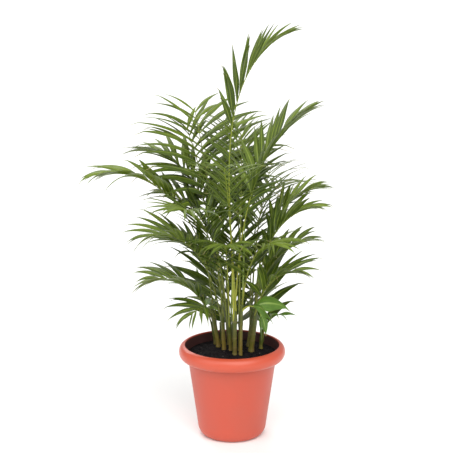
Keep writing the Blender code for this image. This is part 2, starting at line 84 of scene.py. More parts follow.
def mix(a, b, share):
    return a + (b - a) * share


def smooth_step(share):
    """0 to 1 with a soft start and a soft end."""
    share = min(max(share, 0.0), 1.0)
    return share * share * (3 - 2 * share)


# %% [markdown]
# ## Camera
# The plant is looked at from a little above the middle of its crown, from almost 3 m away. A long lens from
# there keeps the pot's mouth a flat ellipse and the crown free of stretch. The camera comes first, so that every
# later piece can be judged in the view that matters.

# %% Camera
EYE = Vector((0.0, -2.90, 1.18))
LOOK_DOWN = 0.21628
LOOK_ASIDE = 0.00487
LENS_MM = 94.73

camera_data = bpy.data.cameras.new("camera")
camera_data.lens = LENS_MM
camera_data.sensor_width = 36.0
camera = bpy.data.objects.new("camera", camera_data)
camera.location = EYE
camera.rotation_euler = (math.pi / 2 - LOOK_DOWN, 0.0, LOOK_ASIDE)
bpy.context.scene.collection.objects.link(camera)
bpy.context.scene.camera = camera
print("camera:", LENS_MM, "mm lens,", round(math.degrees(LOOK_DOWN), 1), "degrees down")

# %% [markdown]
# ## Floor and light
# A product shot of a plant wants a floor and a background that vanish into the same white, and light from
# many sides, so that leaves deep in the crown still read as leaves. A wide floor gives that, and a world that
# looks white but lights softly. A soft far lamp from high in front, a little to the right, models the roll of
# the rim and the arch of the leaflets. A weaker one lifts the left side, and one behind edges the leaflets.

# %% Floor
FLOOR_HALF = 60.0
FLOOR_CUTS = 12


def add_piece(name, mesh, *finishes):
    """Puts a mesh into the scene as one object, with its materials."""
    for finish in finishes:
        mesh.materials.append(finish)
    made = bpy.data.objects.new(name, mesh)
    bpy.context.scene.collection.objects.link(made)
    return made


def grid_mesh(name, half, cuts):
    """A level square, cut into a grid."""
    step = 2 * half / cuts
    points = [(-half + step * i, -half + step * j, 0.0) for j in range(cuts + 1) for i in range(cuts + 1)]
    row = cuts + 1
    faces = [(a, a + 1, a + 1 + row, a + row) for j in range(cuts) for a in range(j * row, j * row + cuts)]
    mesh = bpy.data.meshes.new(name)
    mesh.from_pydata(points, [], faces)
    return mesh


# %% World and lamps
WORLD_STRENGTH = 0.55
view = bpy.context.scene.view_settings
view.view_transform = "Standard"

world = bpy.data.worlds.new("studio")
world.use_nodes = True
sky = world.node_tree
glow, backdrop = sky.nodes["Background"], sky.nodes.new("ShaderNodeBackground")
for node, strength in ((glow, WORLD_STRENGTH), (backdrop, 1.0)):
    node.inputs["Color"].default_value = (1.0, 1.0, 1.0, 1.0)
    node.inputs["Strength"].default_value = strength
chosen = sky.nodes.new("ShaderNodeMixShader")
seen = sky.nodes.new("ShaderNodeLightPath").outputs["Is Camera Ray"]
for i, source in enumerate((seen, glow.outputs[0], backdrop.outputs[0])):
    sky.links.new(source, chosen.inputs[i])
sky.links.new(chosen.outputs[0], sky.nodes["World Output"].inputs["Surface"])
bpy.context.scene.world = world


def add_lamp(name, towards, strength, spread, colour):
    """A far soft lamp that shines along a direction, from as wide a patch as its spread in degrees."""
    data = bpy.data.lights.new(name, "SUN")
    data.energy = strength
    data.angle = math.radians(spread)
    data.color = colour
    lamp = bpy.data.objects.new(name, data)
    lamp.rotation_euler = Vector(towards).to_track_quat("-Z", "Y").to_euler()
    lamp.location = -Vector(towards) * 3
    bpy.context.scene.collection.objects.link(lamp)
    return lamp


add_lamp("key_lamp", (-0.22, 0.75, -0.80), 2.5, 60, (1.0, 0.985, 0.95))
add_lamp("fill_lamp", (0.75, 0.55, -0.55), 0.9, 50, (0.97, 0.985, 1.0))
add_lamp("rim_lamp", (0.30, -0.80, -0.75), 1.0, 40, (1.0, 1.0, 1.0))

# %% [markdown]
# ## Building materials from nodes
# Every finish here is a Principled shader with patterns made by nodes. A small helper places a node, sets its
# sockets by name and returns it, so that a material reads like a list. Patterns that more than one material
# needs are node groups with named inputs, built once.

# %% Node helpers
def place(tree, kind, settings=None, **links):
    """Adds a node, sets its properties, then links or sets each input. An input's name has _ for a space."""
    node = tree.nodes.new(kind)
    for key, value in (settings or {}).items():
        setattr(node, key, value)
    for key, value in links.items():
        socket = node.inputs[int(key[1:])] if key[1:].isdigit() else node.inputs[key.replace("_", " ")]
        if isinstance(value, bpy.types.NodeSocket):
            tree.links.new(value, socket)
        else:
            socket.default_value = value
    return node


def maths(tree, operation, a, b=0.0, clamp=False):
    return place(tree, "ShaderNodeMath", {"operation": operation, "use_clamp": clamp}, i0=a, i1=b).outputs[0]


def times(tree, a, b):
    return maths(tree, "MULTIPLY", a, b)


def ramp(tree, value, low, high, to_low=0.0, to_high=1.0):
    """A soft step: to_low below low, and to_high above high."""
    settings = {"interpolation_type": "SMOOTHSTEP"}
    node = place(tree, "ShaderNodeMapRange", settings, i0=value, i1=low, i2=high, i3=to_low, i4=to_high)
    return node.outputs[0]


def blend(tree, share, colour_a, colour_b, way="MIX"):
    settings = {"data_type": "RGBA", "blend_type": way, "clamp_factor": True}
    return place(tree, "ShaderNodeMix", settings, i0=share, i6=colour_a, i7=colour_b).outputs[2]


def speckle(tree, vector, scale, detail=3.0, roughness=0.55):
    node = place(tree, "ShaderNodeTexNoise", None, Vector=vector, Scale=scale, Detail=detail, Roughness=roughness)
    return node.outputs[0]


def stretched(tree, vector, scales):
    """A vector with its axes scaled, which draws a pattern out into streaks."""
    node = place(tree, "ShaderNodeMapping", None, Vector=vector)
    node.inputs["Scale"].default_value = scales
    return node.outputs[0]


def attribute(tree, name):
    """A value that the mesh carries at each of its points."""
    return place(tree, "ShaderNodeAttribute", {"attribute_name": name}).outputs["Fac"]


def object_point(tree):
    return place(tree, "ShaderNodeTexCoord").outputs["Object"]


def new_group(name, inputs, outputs):
    """A shader node group. inputs and outputs are {name: kind}, where a kind is Float, Color or Vector."""
    group = bpy.data.node_groups.new(name, "ShaderNodeTree")
    for kind, sockets in (("INPUT", inputs), ("OUTPUT", outputs)):
        for socket, socket_type in sockets.items():
            group.interface.new_socket(socket, in_out=kind, socket_type="NodeSocket" + socket_type)
    return group, group.nodes.new("NodeGroupInput").outputs, group.nodes.new("NodeGroupOutput").inputs


def use_group(tree, group, **links):
    return place(tree, "ShaderNodeGroup", {"node_tree": group}, **links).outputs


def new_material(name, roughness=0.5, **values):
    """A material with one Principled shader, whose plain values are set on its own sockets."""
    made = bpy.data.materials.new(name)
    made.use_nodes = True
    shader = made.node_tree.nodes["Principled BSDF"]
    shader.inputs["Roughness"].default_value = roughness
    for key, value in values.items():
        shader.inputs[key.replace("_", " ")].default_value = value
    return made, made.node_tree, shader.inputs


def wire(tree, shader, **links):
    """Links each value to the shader's socket of that name, which has _ for a space."""
    for name, source in links.items():
        tree.links.new(source, shader[name.replace("_", " ")])


def bump_from(tree, height, strength, distance):
    node = place(tree, "ShaderNodeBump", None, Height=height)
    node.inputs["Strength"].default_value = strength
    node.inputs["Distance"].default_value = distance
    return node.outputs[0]


# %% [markdown]
# ## Two patterns that several finishes share
# Natural and moulded surfaces both vary in two ways. Broad patches drift a little in colour, and long streaks
# follow the way the thing grew or was drawn. One group makes the patches and one makes the streaks. Each takes
# its own point or vector, so that a leaf can use its own length and width where a pot uses space.

# %% Group: patches
patches, given, gives = new_group(
    "patches",
    {"Point": "Vector", "Scale": "Float", "Colour": "Color", "Drift": "Color", "Amount": "Float"},
    {"Colour": "Color", "Mask": "Float", "Grain": "Float"},
)
broad = speckle(patches, given["Point"], given["Scale"], 4.0)
broad = ramp(patches, broad, 0.38, 0.66)
fine = speckle(patches, given["Point"], times(patches, given["Scale"], 21.0), 2.0)
drifted = blend(patches, times(patches, broad, given["Amount"]), given["Colour"], given["Drift"])
wire(patches, gives, Colour=drifted, Mask=broad, Grain=fine)

# %% Group: streaks
streaks, given, gives = new_group(
    "streaks",
    {"Vector": "Vector", "Colour": "Color", "Streak": "Color", "Amount": "Float"},
    {"Colour": "Color", "Height": "Float"},
)
thin = speckle(streaks, given["Vector"], 1.0, 5.0, 0.62)
lines = ramp(streaks, thin, 0.36, 0.64)
streaked = blend(streaks, times(streaks, lines, given["Amount"]), given["Colour"], given["Streak"])
wire(streaks, gives, Colour=streaked, Height=lines)
print("groups:", [g.name for g in bpy.data.node_groups])

# %% Floor material and floor
floor_finish, tree, shader = new_material("studio_floor", 0.6)
pale, paler = (0.91, 0.91, 0.91, 1), (0.93, 0.93, 0.93, 1)
tint = use_group(tree, patches, Point=object_point(tree), Scale=0.6, Colour=paler, Drift=pale, Amount=0.5)
wire(tree, shader, Base_Color=tint["Colour"], Roughness=ramp(tree, tint["Grain"], 0.3, 0.7, 0.55, 0.65))
floor = add_piece("studio_floor", grid_mesh("studio_floor", FLOOR_HALF, FLOOR_CUTS), floor_finish)
floor.location.z = -0.0004
floor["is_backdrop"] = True

# %% [markdown]
# ## The pot's plastic
# The pot is coral polypropylene. The rim is a little shinier than the body, and it is painted a lighter coral as
# a painted highlight where light falls on the roll. The body is covered with a very fine moulded grain. Inside,
# the wall is painted dark red-brown: painted shade in the pot's mouth, and a stain from the damp mix. Round the
# foot the coral is painted lighter too, as painted light on the lower wall. Height and distance from the axis say
# where each of these belongs, so they are read from the object's own coordinates.

# %% Pot measures
pot_low, pot_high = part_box("pot")
RIM_RADIUS = (pot_high.x - pot_low.x) / 2
POT_HEIGHT = pot_high.z
POT_WALL = 0.003
ROLL_REACH = 0.015
LIP_RADIUS = RIM_RADIUS - ROLL_REACH - POT_WALL
LIP_HEIGHT = POT_HEIGHT - POT_WALL
NECK_INSET = 0.013
NECK_DROP = 0.048
WALL_SLOPE = 0.27
print("pot:", round(RIM_RADIUS * 2000, 1), "mm across and", round(POT_HEIGHT * 1000, 1), "mm high")

# %% Pot material
CORAL = (0.500, 0.072, 0.039, 1)
CORAL_DULL = (0.465, 0.079, 0.047, 1)
# A lighter coral for painted light: a painted highlight on the rim, and painted light near the foot.
CORAL_LIT = (0.530, 0.078, 0.038, 1)
# Dark red-brown for the inside of the mouth: painted shade, and a stain from the damp mix.
SHADE_AND_STAIN = (0.045, 0.010, 0.009, 1)

coral_plastic, tree, shader = new_material("coral_plastic", 0.4, Specular_IOR_Level=0.5)
point = object_point(tree)
parts = place(tree, "ShaderNodeSeparateXYZ", None, Vector=point).outputs
height = parts["Z"]
squares = [times(tree, parts[axis], parts[axis]) for axis in "XY"]
reach = maths(tree, "SQRT", maths(tree, "ADD", *squares))
body = use_group(tree, patches, Point=point, Scale=9.0, Colour=CORAL, Drift=CORAL_DULL, Amount=0.8)
# The rim is painted the lighter coral, a painted highlight where light falls on the roll. The rim is also shinier.
rim_mask = ramp(tree, height, LIP_HEIGHT - 0.042, LIP_HEIGHT - 0.030)
colour = blend(tree, rim_mask, body["Colour"], CORAL_LIT)
# Near the foot the colour is blended halfway to the lighter coral: painted light on the lower wall.
foot_light = ramp(tree, height, 0.045, 0.004)
colour = blend(tree, times(tree, foot_light, 0.55), colour, CORAL_LIT)
# Inside the wall, below the lip, the coral is darkened. This is painted shade in the pot's mouth, and a soil stain
# that is also rougher.
below_neck = maths(tree, "SUBTRACT", height, LIP_HEIGHT - NECK_DROP)
inside_at = maths(tree, "ADD", LIP_RADIUS - NECK_INSET * 1.25, times(tree, below_neck, WALL_SLOPE))
inside = ramp(tree, maths(tree, "SUBTRACT", reach, inside_at), 0.0052, 0.0038)
below_lip = ramp(tree, height, LIP_HEIGHT - 0.0005, LIP_HEIGHT - 0.0045)
shade_and_stain = times(tree, inside, below_lip)
rough = maths(tree, "ADD", ramp(tree, body["Mask"], 0.0, 1.0, 0.40, 0.47), times(tree, rim_mask, -0.10))
rough = maths(tree, "ADD", rough, times(tree, shade_and_stain, 0.30), clamp=True)
bump = bump_from(tree, body["Grain"], 0.25, 0.00012)
wire(tree, shader, Base_Color=blend(tree, shade_and_stain, colour, SHADE_AND_STAIN), Roughness=rough, Normal=bump)

# %% [markdown]
# ## The pot
# A pot like this is one sheet of plastic: it starts under the rolled rim, comes over the lip, goes down the
# wall, round the heel and across the floor. It could be cut from blocks with booleans, but a profile turned
# round the axis by a Screw modifier, with Solidify for the wall, gives an even wall and a perfect round. Only
# the drain holes are cut. A shallow ring stands out near the foot, where the two halves of the mould met.

# %% Pot profile
HEEL_RADIUS = 0.085
HEEL_HEIGHT = 0.030
HEEL_CORNER = 0.017
ROLL_DROP = 0.036
ROLL_END = -62.0
RING_HEIGHT = 0.046
RING_SPREAD = 0.004
RING_PROUD = 0.0007
TURN_STEPS = 144


def arc(centre, radii, start, end, steps):
    """Points (r, z) of an elliptical arc, from one angle in degrees to another."""
    turns = [math.radians(mix(start, end, i / steps)) for i in range(steps + 1)]
    return [(centre[0] + radii[0] * math.cos(t), centre[1] + radii[1] * math.sin(t)) for t in turns]


def wall_radius(z):
    """The radius of the pot's inner face at a height between the heel and the neck."""
    share = (z - HEEL_HEIGHT) / (LIP_HEIGHT - NECK_DROP - HEEL_HEIGHT)
    return mix(HEEL_RADIUS, LIP_RADIUS - NECK_INSET, share)


def pot_profile():
    """The inner face of the sheet: the roll from its free edge, the lip, the wall, the heel and the floor."""
    roll = arc((LIP_RADIUS, LIP_HEIGHT - ROLL_DROP / 2), (ROLL_REACH, ROLL_DROP / 2), ROLL_END, 90, 26)
    wall = []
    for i in range(15):
        z = mix(LIP_HEIGHT - NECK_DROP, HEEL_HEIGHT, i / 14)
        ring = RING_PROUD * math.exp(-(((z - RING_HEIGHT) / RING_SPREAD) ** 2))
        wall.append((wall_radius(z) + ring, z))
    heel = arc((HEEL_RADIUS - HEEL_CORNER, HEEL_HEIGHT), (HEEL_CORNER, HEEL_HEIGHT - POT_WALL), -8, -90, 10)
    return roll + wall + heel + [(0.045, POT_WALL), (0.02, POT_WALL), (0.0, POT_WALL)]


print("pot profile:", len(pot_profile()), "points")

# %% Turning the pot
DRAIN_RADIUS = 0.0045
DRAIN_REACH = 0.048
DRAIN_COUNT = 6
DRAIN_SIDES = 20
DRAIN_DEPTH = 0.012


def turned(name, profile, finish):
    """A profile of (r, z) points, swept round Z by a Screw modifier."""
    mesh = bpy.data.meshes.new(name)
    mesh.from_pydata([(r, 0.0, z) for r, z in profile], [(i, i + 1) for i in range(len(profile) - 1)], [])
    made = add_piece(name, mesh, finish)
    screw = made.modifiers.new("turn", "SCREW")
    screw.steps = screw.render_steps = TURN_STEPS
    screw.use_merge_vertices = True
    screw.merge_threshold = 0.00002
    screw.use_smooth_shade = True
    return made


def apply_modifiers(made):
    """Replaces an object's mesh by what its modifiers make of it."""
    graph = bpy.context.evaluated_depsgraph_get()
    mesh = bpy.data.meshes.new_from_object(made.evaluated_get(graph), depsgraph=graph)
    made.modifiers.clear()
    made.data = mesh
    return made


def bands(count, sides, first=0):
    """Faces between rings whose points follow one another, from the first on."""
    pairs = [(i, (i + 1) % sides) for i in range(sides)]
    starts = range(first, first + (count - 1) * sides, sides)
    return [(a + i, a + i + sides, a + k + sides, a + k) for a in starts for i, k in pairs]


def lofted(rings):
    """Points and faces of a closed body through rings of corners."""
    points = [point for ring in rings for point in ring]
    sides, last = len(rings[0]), len(points) - len(rings[0])
    ends = [tuple(range(sides)), tuple(range(len(points) - 1, last - 1, -1))]
    return points, ends + bands(len(rings), sides)


def circle(middle, radius, sides):
    return [middle + heading(360 * i / sides) * radius for i in range(sides)]


def round_post(radius, foot, top, sides):
    """A post from one point to another."""
    return lofted([circle(end, radius, sides) for end in (foot, top)])


def drill(made, places, radius, depth):
    """Cuts round holes, straight down, at the places."""
    points, faces = [], []
    for spot in places:
        post, sides = round_post(radius, spot + UP * depth, spot - UP * depth, DRAIN_SIDES)
        faces += [tuple(len(points) + i for i in face) for face in sides]
        points += post
    mesh = bpy.data.meshes.new("drills")
    mesh.from_pydata(points, [], faces)
    drills = add_piece("drills", mesh)
    cut = made.modifiers.new("drain_holes", "BOOLEAN")
    cut.operation = "DIFFERENCE"
    cut.solver = "EXACT"
    cut.object = drills
    apply_modifiers(made)
    bpy.data.objects.remove(drills)


pot = turned("pot_fine", pot_profile(), coral_plastic)
shell = pot.modifiers.new("wall", "SOLIDIFY")
shell.thickness = POT_WALL
shell.offset = 1.0
shell.use_even_offset = True
drill(pot, circle(Vector(), DRAIN_REACH, DRAIN_COUNT), DRAIN_RADIUS, DRAIN_DEPTH)
pot.data.set_sharp_from_angle(angle=math.radians(40))
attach(pot, "root")
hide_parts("pot")
print("pot:", len(pot.data.polygons), "faces")

# %% [markdown]
# ## The potting mix
# Peaty mix is nearly black when it is damp. It is uneven at two scales: low heaps where it was pressed down
# round the canes, and crumbs, bark chips and a few pale grains on top. The body of the mix is a turned solid
# whose top is lifted by noise. The crumbs are small faceted lumps of many sizes, pressed into that top.

# %% Potting mix material
peat, tree, shader = new_material("damp_peat", 0.92, Specular_IOR_Level=0.15)
point = object_point(tree)
black, brown, gritty = (0.0055, 0.0040, 0.0055, 1), (0.014, 0.010, 0.011, 1), (0.16, 0.14, 0.13, 1)
earth = use_group(tree, patches, Point=point, Scale=60.0, Colour=black, Drift=brown, Amount=1.0)
pale = ramp(tree, attribute(tree, "pale"), 0.4, 0.6)
pale = times(tree, pale, ramp(tree, earth["Grain"], 0.3, 0.6, 0.5, 1.0))
rough = ramp(tree, earth["Grain"], 0.3, 0.7, 0.80, 0.98)
bump = bump_from(tree, earth["Grain"], 0.9, 0.0012)
wire(tree, shader, Base_Color=blend(tree, pale, earth["Colour"], gritty), Roughness=rough, Normal=bump)

# %% Potting mix body
SOIL_BELOW_LIP = 0.024
SOIL_CROWN = 0.006
SOIL_LEVEL = LIP_HEIGHT - SOIL_BELOW_LIP
SOIL_GAP = 0.00045
SOIL_RINGS = 30
SOIL_TURNS = 110
HEAP_HEIGHT = 0.0022
GRIT_HEIGHT = 0.0011


def soil_edge():
    return LIP_RADIUS - NECK_INSET * SOIL_BELOW_LIP / NECK_DROP - 2 * SOIL_GAP


def soil_height(x, y):
    """The level of the mix at a place: a low crown, heaps and grit, flattened at the wall."""
    share = min(math.hypot(x, y) / soil_edge(), 1.0)
    crown = SOIL_CROWN * (1 - smooth_step(share * 1.1))
    calm = 1 - share**6
    heap = noise.noise(Vector((x * 55, y * 55, 3.0))) * HEAP_HEIGHT
    grit = noise.noise(Vector((x * 260, y * 260, 9.0))) * GRIT_HEIGHT
    return SOIL_LEVEL + crown + (heap + grit) * calm


def soil_body():
    """Points and faces of the mix: a rough top, and the pot's own inside below it."""
    rings = []
    for i in range(1, SOIL_RINGS + 1):
        spots = circle(Vector(), soil_edge() * i / SOIL_RINGS, SOIL_TURNS)
        rings.append([Vector((p.x, p.y, soil_height(p.x, p.y))) for p in spots])
    lower = [(wall_radius(z) - 2 * SOIL_GAP, z) for z in (LIP_HEIGHT - NECK_DROP, 0.12, HEEL_HEIGHT)]
    centre = (HEEL_RADIUS - HEEL_CORNER - SOIL_GAP, HEEL_HEIGHT)
    lower += arc(centre, (HEEL_CORNER, HEEL_HEIGHT - POT_WALL - SOIL_GAP), -20, -90, 4)
    rings += [circle(UP * z, r, SOIL_TURNS) for r, z in lower]
    top, bottom = Vector((0, 0, soil_height(0, 0))), Vector((0, 0, POT_WALL + SOIL_GAP))
    points = [top, *(p for ring in rings for p in ring), bottom]
    end = len(points) - 1
    last = end - SOIL_TURNS
    pairs = [(k, (k + 1) % SOIL_TURNS) for k in range(SOIL_TURNS)]
    faces = [(0, 1 + k, 1 + after) for k, after in pairs] + bands(len(rings), SOIL_TURNS, 1)
    return points, faces + [(last + after, last + k, end) for k, after in pairs]


# %% Crumbs of the mix
CRUMB_COUNT = 900
CRUMB_WAIST = [(0.9, 0.1, 0.3), (0.2, 0.85, 0.4), (-0.8, 0.4, 0.2), (-0.5, -0.75, 0.35), (0.5, -0.8, 0.1)]
CRUMB_SHAPE = [Vector(v) for v in ((0, 0, 1), *CRUMB_WAIST, (0.1, 0.1, -0.9))]
CRUMB_FACES = [(0, i, i % 5 + 1) for i in range(1, 6)] + [(6, i % 5 + 1, i) for i in range(1, 6)]


def add_crumbs(points, faces, pale_marks):
    """Adds lumps from 1 to 5 mm long, pressed into the top of the mix."""
    chance = random.Random("crumbs")
    for _ in range(CRUMB_COUNT):
        spot = heading(chance.uniform(0, 360)) * soil_edge() * 0.965 * math.sqrt(chance.random())
        size = MILLIMETRE * mix(0.7, 3.0, chance.random() ** 2.2)
        turn = Matrix.Rotation(chance.uniform(0, math.tau), 3, "Z")
        turn = turn @ Matrix.Rotation(chance.uniform(-0.7, 0.7), 3, "X")
        shape = Vector((size * chance.uniform(0.8, 1.9), size, size * chance.uniform(0.5, 0.9)))
        seat = Vector((spot.x, spot.y, soil_height(spot.x, spot.y) + size * 0.15))
        first = len(points)
        for corner in CRUMB_SHAPE:
            jitter = 1 + 0.22 * chance.uniform(-1, 1)
            points.append(seat + turn @ Vector([c * s * jitter for c, s in zip(corner, shape)]))
        faces.extend([tuple(first + i for i in face) for face in CRUMB_FACES])
        pale_marks.extend([1.0 if chance.random() < 0.035 else 0.0] * len(CRUMB_SHAPE))


def set_marks(mesh, marks):
    """Stores values on the mesh's points. marks is {name: list of numbers}."""
    for name, numbers in marks.items():
        mesh.attributes.new(name, "FLOAT", "POINT").data.foreach_set("value", numbers)


points, faces = soil_body()
pale_marks = [0.0] * len(points)
add_crumbs(points, faces, pale_marks)
mesh = bpy.data.meshes.new("potting_mix_fine")
mesh.from_pydata(points, [], faces)
set_marks(mesh, {"pale": pale_marks})
mix_piece = add_piece("potting_mix_fine", mesh, peat)
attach(mix_piece, "root")
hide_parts("potting_mix")
print("potting mix:", len(points), "points,", CRUMB_COUNT, "crumbs")

# %% [markdown]
# ## The plan of the plant
# A palm grows to a plan: canes stand in the clump, each frond leaves its cane at one angle and arches over to
# another, and pairs of leaflets follow along its blade. The tables below are that plan, the same as the packed
# model's. Every leaflet then looks for a way that is clear of what has grown before it, as real ones do.
# Growing by rule keeps some six hundred leaflets natural and apart, where placing them by hand would not.

# %% Canes and leaf bases
STEM_BURIED = 0.028
KNEE_ABOVE_SOIL = 0.002
STEM_WAIST = 0.94
STEM_SIDES = 12
PETIOLE_RADIUS = 0.0026
PETIOLE_CLASP = 1.15
CLASP_LENGTH = 0.020
RACHIS_TIP_RADIUS = 0.0009
SPEAR_RADIUS = 0.0019
SEAT_GAP = 0.0003
LEAF_BASE_GAP = 0.0010

OPEN_FAN = 50.0
LEAFLET_WIDTH = 0.020

# A stem: where it stands in a pot whose mouth has the radius below, how high above the soil it
# splits into leaf bases, its radius, and how far its top leans out. In a wider or narrower pot the
# stems stand further apart or closer together.
STEMS_FOR_LIP = 0.1235
Stem = namedtuple("Stem", "x y height radius lean_x lean_y")
STEMS = {
    "stem_left": Stem(-0.036, 0.040, 0.080, 0.0056, -0.012, 0.000),
    "stem_left_inner": Stem(-0.021, 0.014, 0.092, 0.0054, -0.004, -0.004),
    "stem_middle": Stem(-0.004, 0.004, 0.070, 0.0046, -0.003, -0.006),
    "stem_front": Stem(0.007, -0.030, 0.096, 0.0056, 0.000, -0.006),
    "stem_right_inner": Stem(0.020, 0.000, 0.078, 0.0046, 0.002, -0.004),
    "stem_back": Stem(0.022, 0.074, 0.088, 0.0050, 0.000, 0.012),
    "stem_right": Stem(0.050, 0.004, 0.100, 0.0072, 0.010, -0.006),
    "stem_right_back": Stem(0.044, 0.044, 0.086, 0.0056, 0.010, 0.006),
    "stem_left_back": Stem(-0.008, 0.056, 0.090, 0.0054, -0.006, 0.008),
    "shoot_left": Stem(-0.044, 0.070, 0.035, 0.0048, -0.004, 0.002),
    "shoot_middle": Stem(0.004, 0.092, 0.030, 0.0048, 0.000, 0.002),
    "shoot_front": Stem(0.022, -0.030, 0.112, 0.0044, 0.002, -0.004),
    "shoot_back_left": Stem(-0.027, 0.079, 0.030, 0.0046, -0.002, 0.002),
    "shoot_back_right": Stem(0.046, 0.076, 0.030, 0.0046, 0.002, 0.002),
    "shoot_right": Stem(0.076, 0.036, 0.025, 0.0048, 0.002, 0.002),
}

# A frond: its stem, the azimuth that it arches towards and how far that swings along it, its lean
# from upright at the base and at the tip, how late it bends (1 is an even arc), the lengths of the
# petiole, the blade and the longest leaflet, the pairs of leaflets, the angle that the first ones
# make with the stalk, and their width. The young ones on the shoots have few and broad leaflets.
Frond = namedtuple(
    "Frond",
    "stem azimuth swing lean tip_lean bend petiole blade leaflet pairs fan width",
    defaults=[OPEN_FAN, LEAFLET_WIDTH],
)
FRONDS = {
    "young_front": Frond("shoot_front", 338, 0, 4, 170, 1.0, 0.045, 0.030, 0.125, 2, 46, 0.044),
    "young_middle_rear": Frond("shoot_middle", 268, 0, 0, 6, 1.4, 0.014, 0.240, 0.175, 11, 50, 0.036),
    "young_back_left": Frond("shoot_back_left", 272, 0, 0, 8, 1.4, 0.014, 0.200, 0.155, 9, 52, 0.034),
    "young_back_right": Frond("shoot_back_right", 280, 0, 0, 10, 1.4, 0.014, 0.210, 0.155, 9, 52, 0.034),
    "young_left_rear": Frond("shoot_left", 86, 0, 4, 40, 1.4, 0.080, 0.130, 0.150, 6, 46, 0.026),
    "young_left_front": Frond("shoot_left", 176, 0, 10, 60, 1.4, 0.070, 0.080, 0.120, 4, 50, 0.022),
    "young_middle_left": Frond("shoot_middle", 140, 0, 4, 30, 1.4, 0.030, 0.100, 0.140, 4, 36, 0.028),
    "young_right_rear": Frond("shoot_right", 92, 0, 5, 34, 1.4, 0.040, 0.190, 0.145, 7, 36, 0.034),
    "young_right_front": Frond("shoot_right", 326, 0, 6, 70, 1.3, 0.045, 0.050, 0.100, 3, 46, 0.028),
    "frond_top": Frond("stem_front", 14, -16, -3.7, 58, 4.0, 0.490, 0.250, 0.155, 13, 34, 0.017),
    "frond_right_high": Frond("stem_front", 30, -24, 4, 52, 2.3, 0.325, 0.235, 0.155, 14, 40, 0.019),
    "frond_front_high": Frond("stem_front", 256, 10, 6, 58, 2.0, 0.270, 0.200, 0.145, 12, 44),
    "frond_left_high": Frond("stem_left_inner", 114, 4, 12, 26, 1.3, 0.285, 0.250, 0.220, 14, 68, 0.027),
    "frond_left_mid": Frond("stem_left_inner", 206, -6, 13, 100, 2.2, 0.140, 0.185, 0.150, 11),
    "frond_left_front": Frond("stem_left_inner", 240, 8, 10, 78, 1.8, 0.215, 0.195, 0.150, 11),
    "frond_left_long": Frond("stem_left", 188, 14, 5, 94, 1.8, 0.325, 0.215, 0.140, 13, 44, 0.019),
    "frond_left_low": Frond("stem_left", 200, -20, 26, 102, 1.6, 0.050, 0.150, 0.145, 10),
    "frond_left_lowest": Frond("stem_left", 246, -16, 34, 112, 1.1, 0.030, 0.090, 0.105, 7),
    "frond_left_upper": Frond("stem_middle", 156, 14, 6, 84, 2.6, 0.225, 0.185, 0.155, 12),
    "frond_front_left": Frond("stem_middle", 262, 8, 8, 78, 1.6, 0.140, 0.190, 0.145, 11, 44),
    "frond_middle": Frond("stem_right_inner", 80, 10, 3, 40, 2.2, 0.270, 0.220, 0.155, 13, 44, 0.022),
    "frond_front_right": Frond("stem_right_inner", 290, 6, 10, 80, 1.6, 0.140, 0.190, 0.140, 11, 44),
    "frond_back_high": Frond("stem_back", 96, 12, 4, 56, 2.2, 0.300, 0.220, 0.155, 12, 48, 0.022),
    "frond_back_right": Frond("stem_back", 50, 12, 8, 80, 1.8, 0.200, 0.200, 0.150, 11),
    "frond_back_low": Frond("stem_back", 112, -8, 8, 50, 1.5, 0.060, 0.200, 0.150, 9, 46, 0.026),
    "frond_right_mid": Frond("stem_right", 346, 0, 4, 76, 2.2, 0.185, 0.155, 0.120, 12, 40, 0.018),
    "frond_right_low": Frond("stem_right", 336, 4, 14, 84, 1.6, 0.055, 0.120, 0.130, 9, 44),
    "frond_right_upper": Frond("stem_right_back", 14, -18, 4, 76, 2.3, 0.245, 0.150, 0.110, 11, 42, 0.014),
    "frond_right_under": Frond("stem_right_back", 350, 16, 10, 72, 1.6, 0.120, 0.130, 0.130, 9, 44),
    "frond_right_rear": Frond("stem_right_back", 66, 10, 6, 70, 1.9, 0.230, 0.200, 0.145, 12, 46),
    "frond_left_rear": Frond("stem_left_back", 150, 16, 6, 84, 2.6, 0.300, 0.200, 0.155, 12),
    "frond_left_under": Frond("stem_left_back", 184, -10, 16, 84, 2.0, 0.110, 0.150, 0.145, 10),
    "frond_back_left": Frond("stem_left_back", 118, 12, 8, 76, 1.8, 0.200, 0.200, 0.150, 11, 48),
    "frond_left_crest": Frond("stem_left_back", 128, 6, 12, 28, 1.3, 0.280, 0.210, 0.200, 12, 64, 0.025),
}

# Unopened leaves: the stem, the length, and the azimuth and angle of the lean.
Spear = namedtuple("Spear", "stem length azimuth lean")
SPEARS = {
    "spear_middle": Spear("stem_middle", 0.240, 30, 2),
    "spear_right_inner": Spear("stem_right_inner", 0.340, 60, 3),
}


# %% Where each leaf base sits
def stem_foot(stem, level):
    """Where a stem stands, at a level in the pot."""
    spread = LIP_RADIUS / STEMS_FOR_LIP
    return Vector((stem.x * spread, stem.y * spread, level))


def stem_top(stem):
    return stem_foot(stem, SOIL_LEVEL + stem.height) + Vector((stem.lean_x, stem.lean_y, 0.0))


def leaves_of(stem):
    """{leaf: azimuth} of the fronds and the spear on a stem."""
    return {name: leaf.azimuth for name, leaf in (*FRONDS.items(), *SPEARS.items()) if leaf.stem == stem}


def leaf_turns(stem):
    """{leaf: azimuth} of the leaf bases round a stem's top, each as near as can be to where it leans."""
    held = leaves_of(stem)
    gap = 360 / len(held)

    def ways():
        for start in range(0, round(gap), 10):
            for order in permutations(held):
                yield {name: start + gap * i for i, name in enumerate(order)}

    def nearness(turns):
        return sum(math.cos(math.radians(turns[name] - held[name])) for name in held)

    return max(ways(), key=nearness)


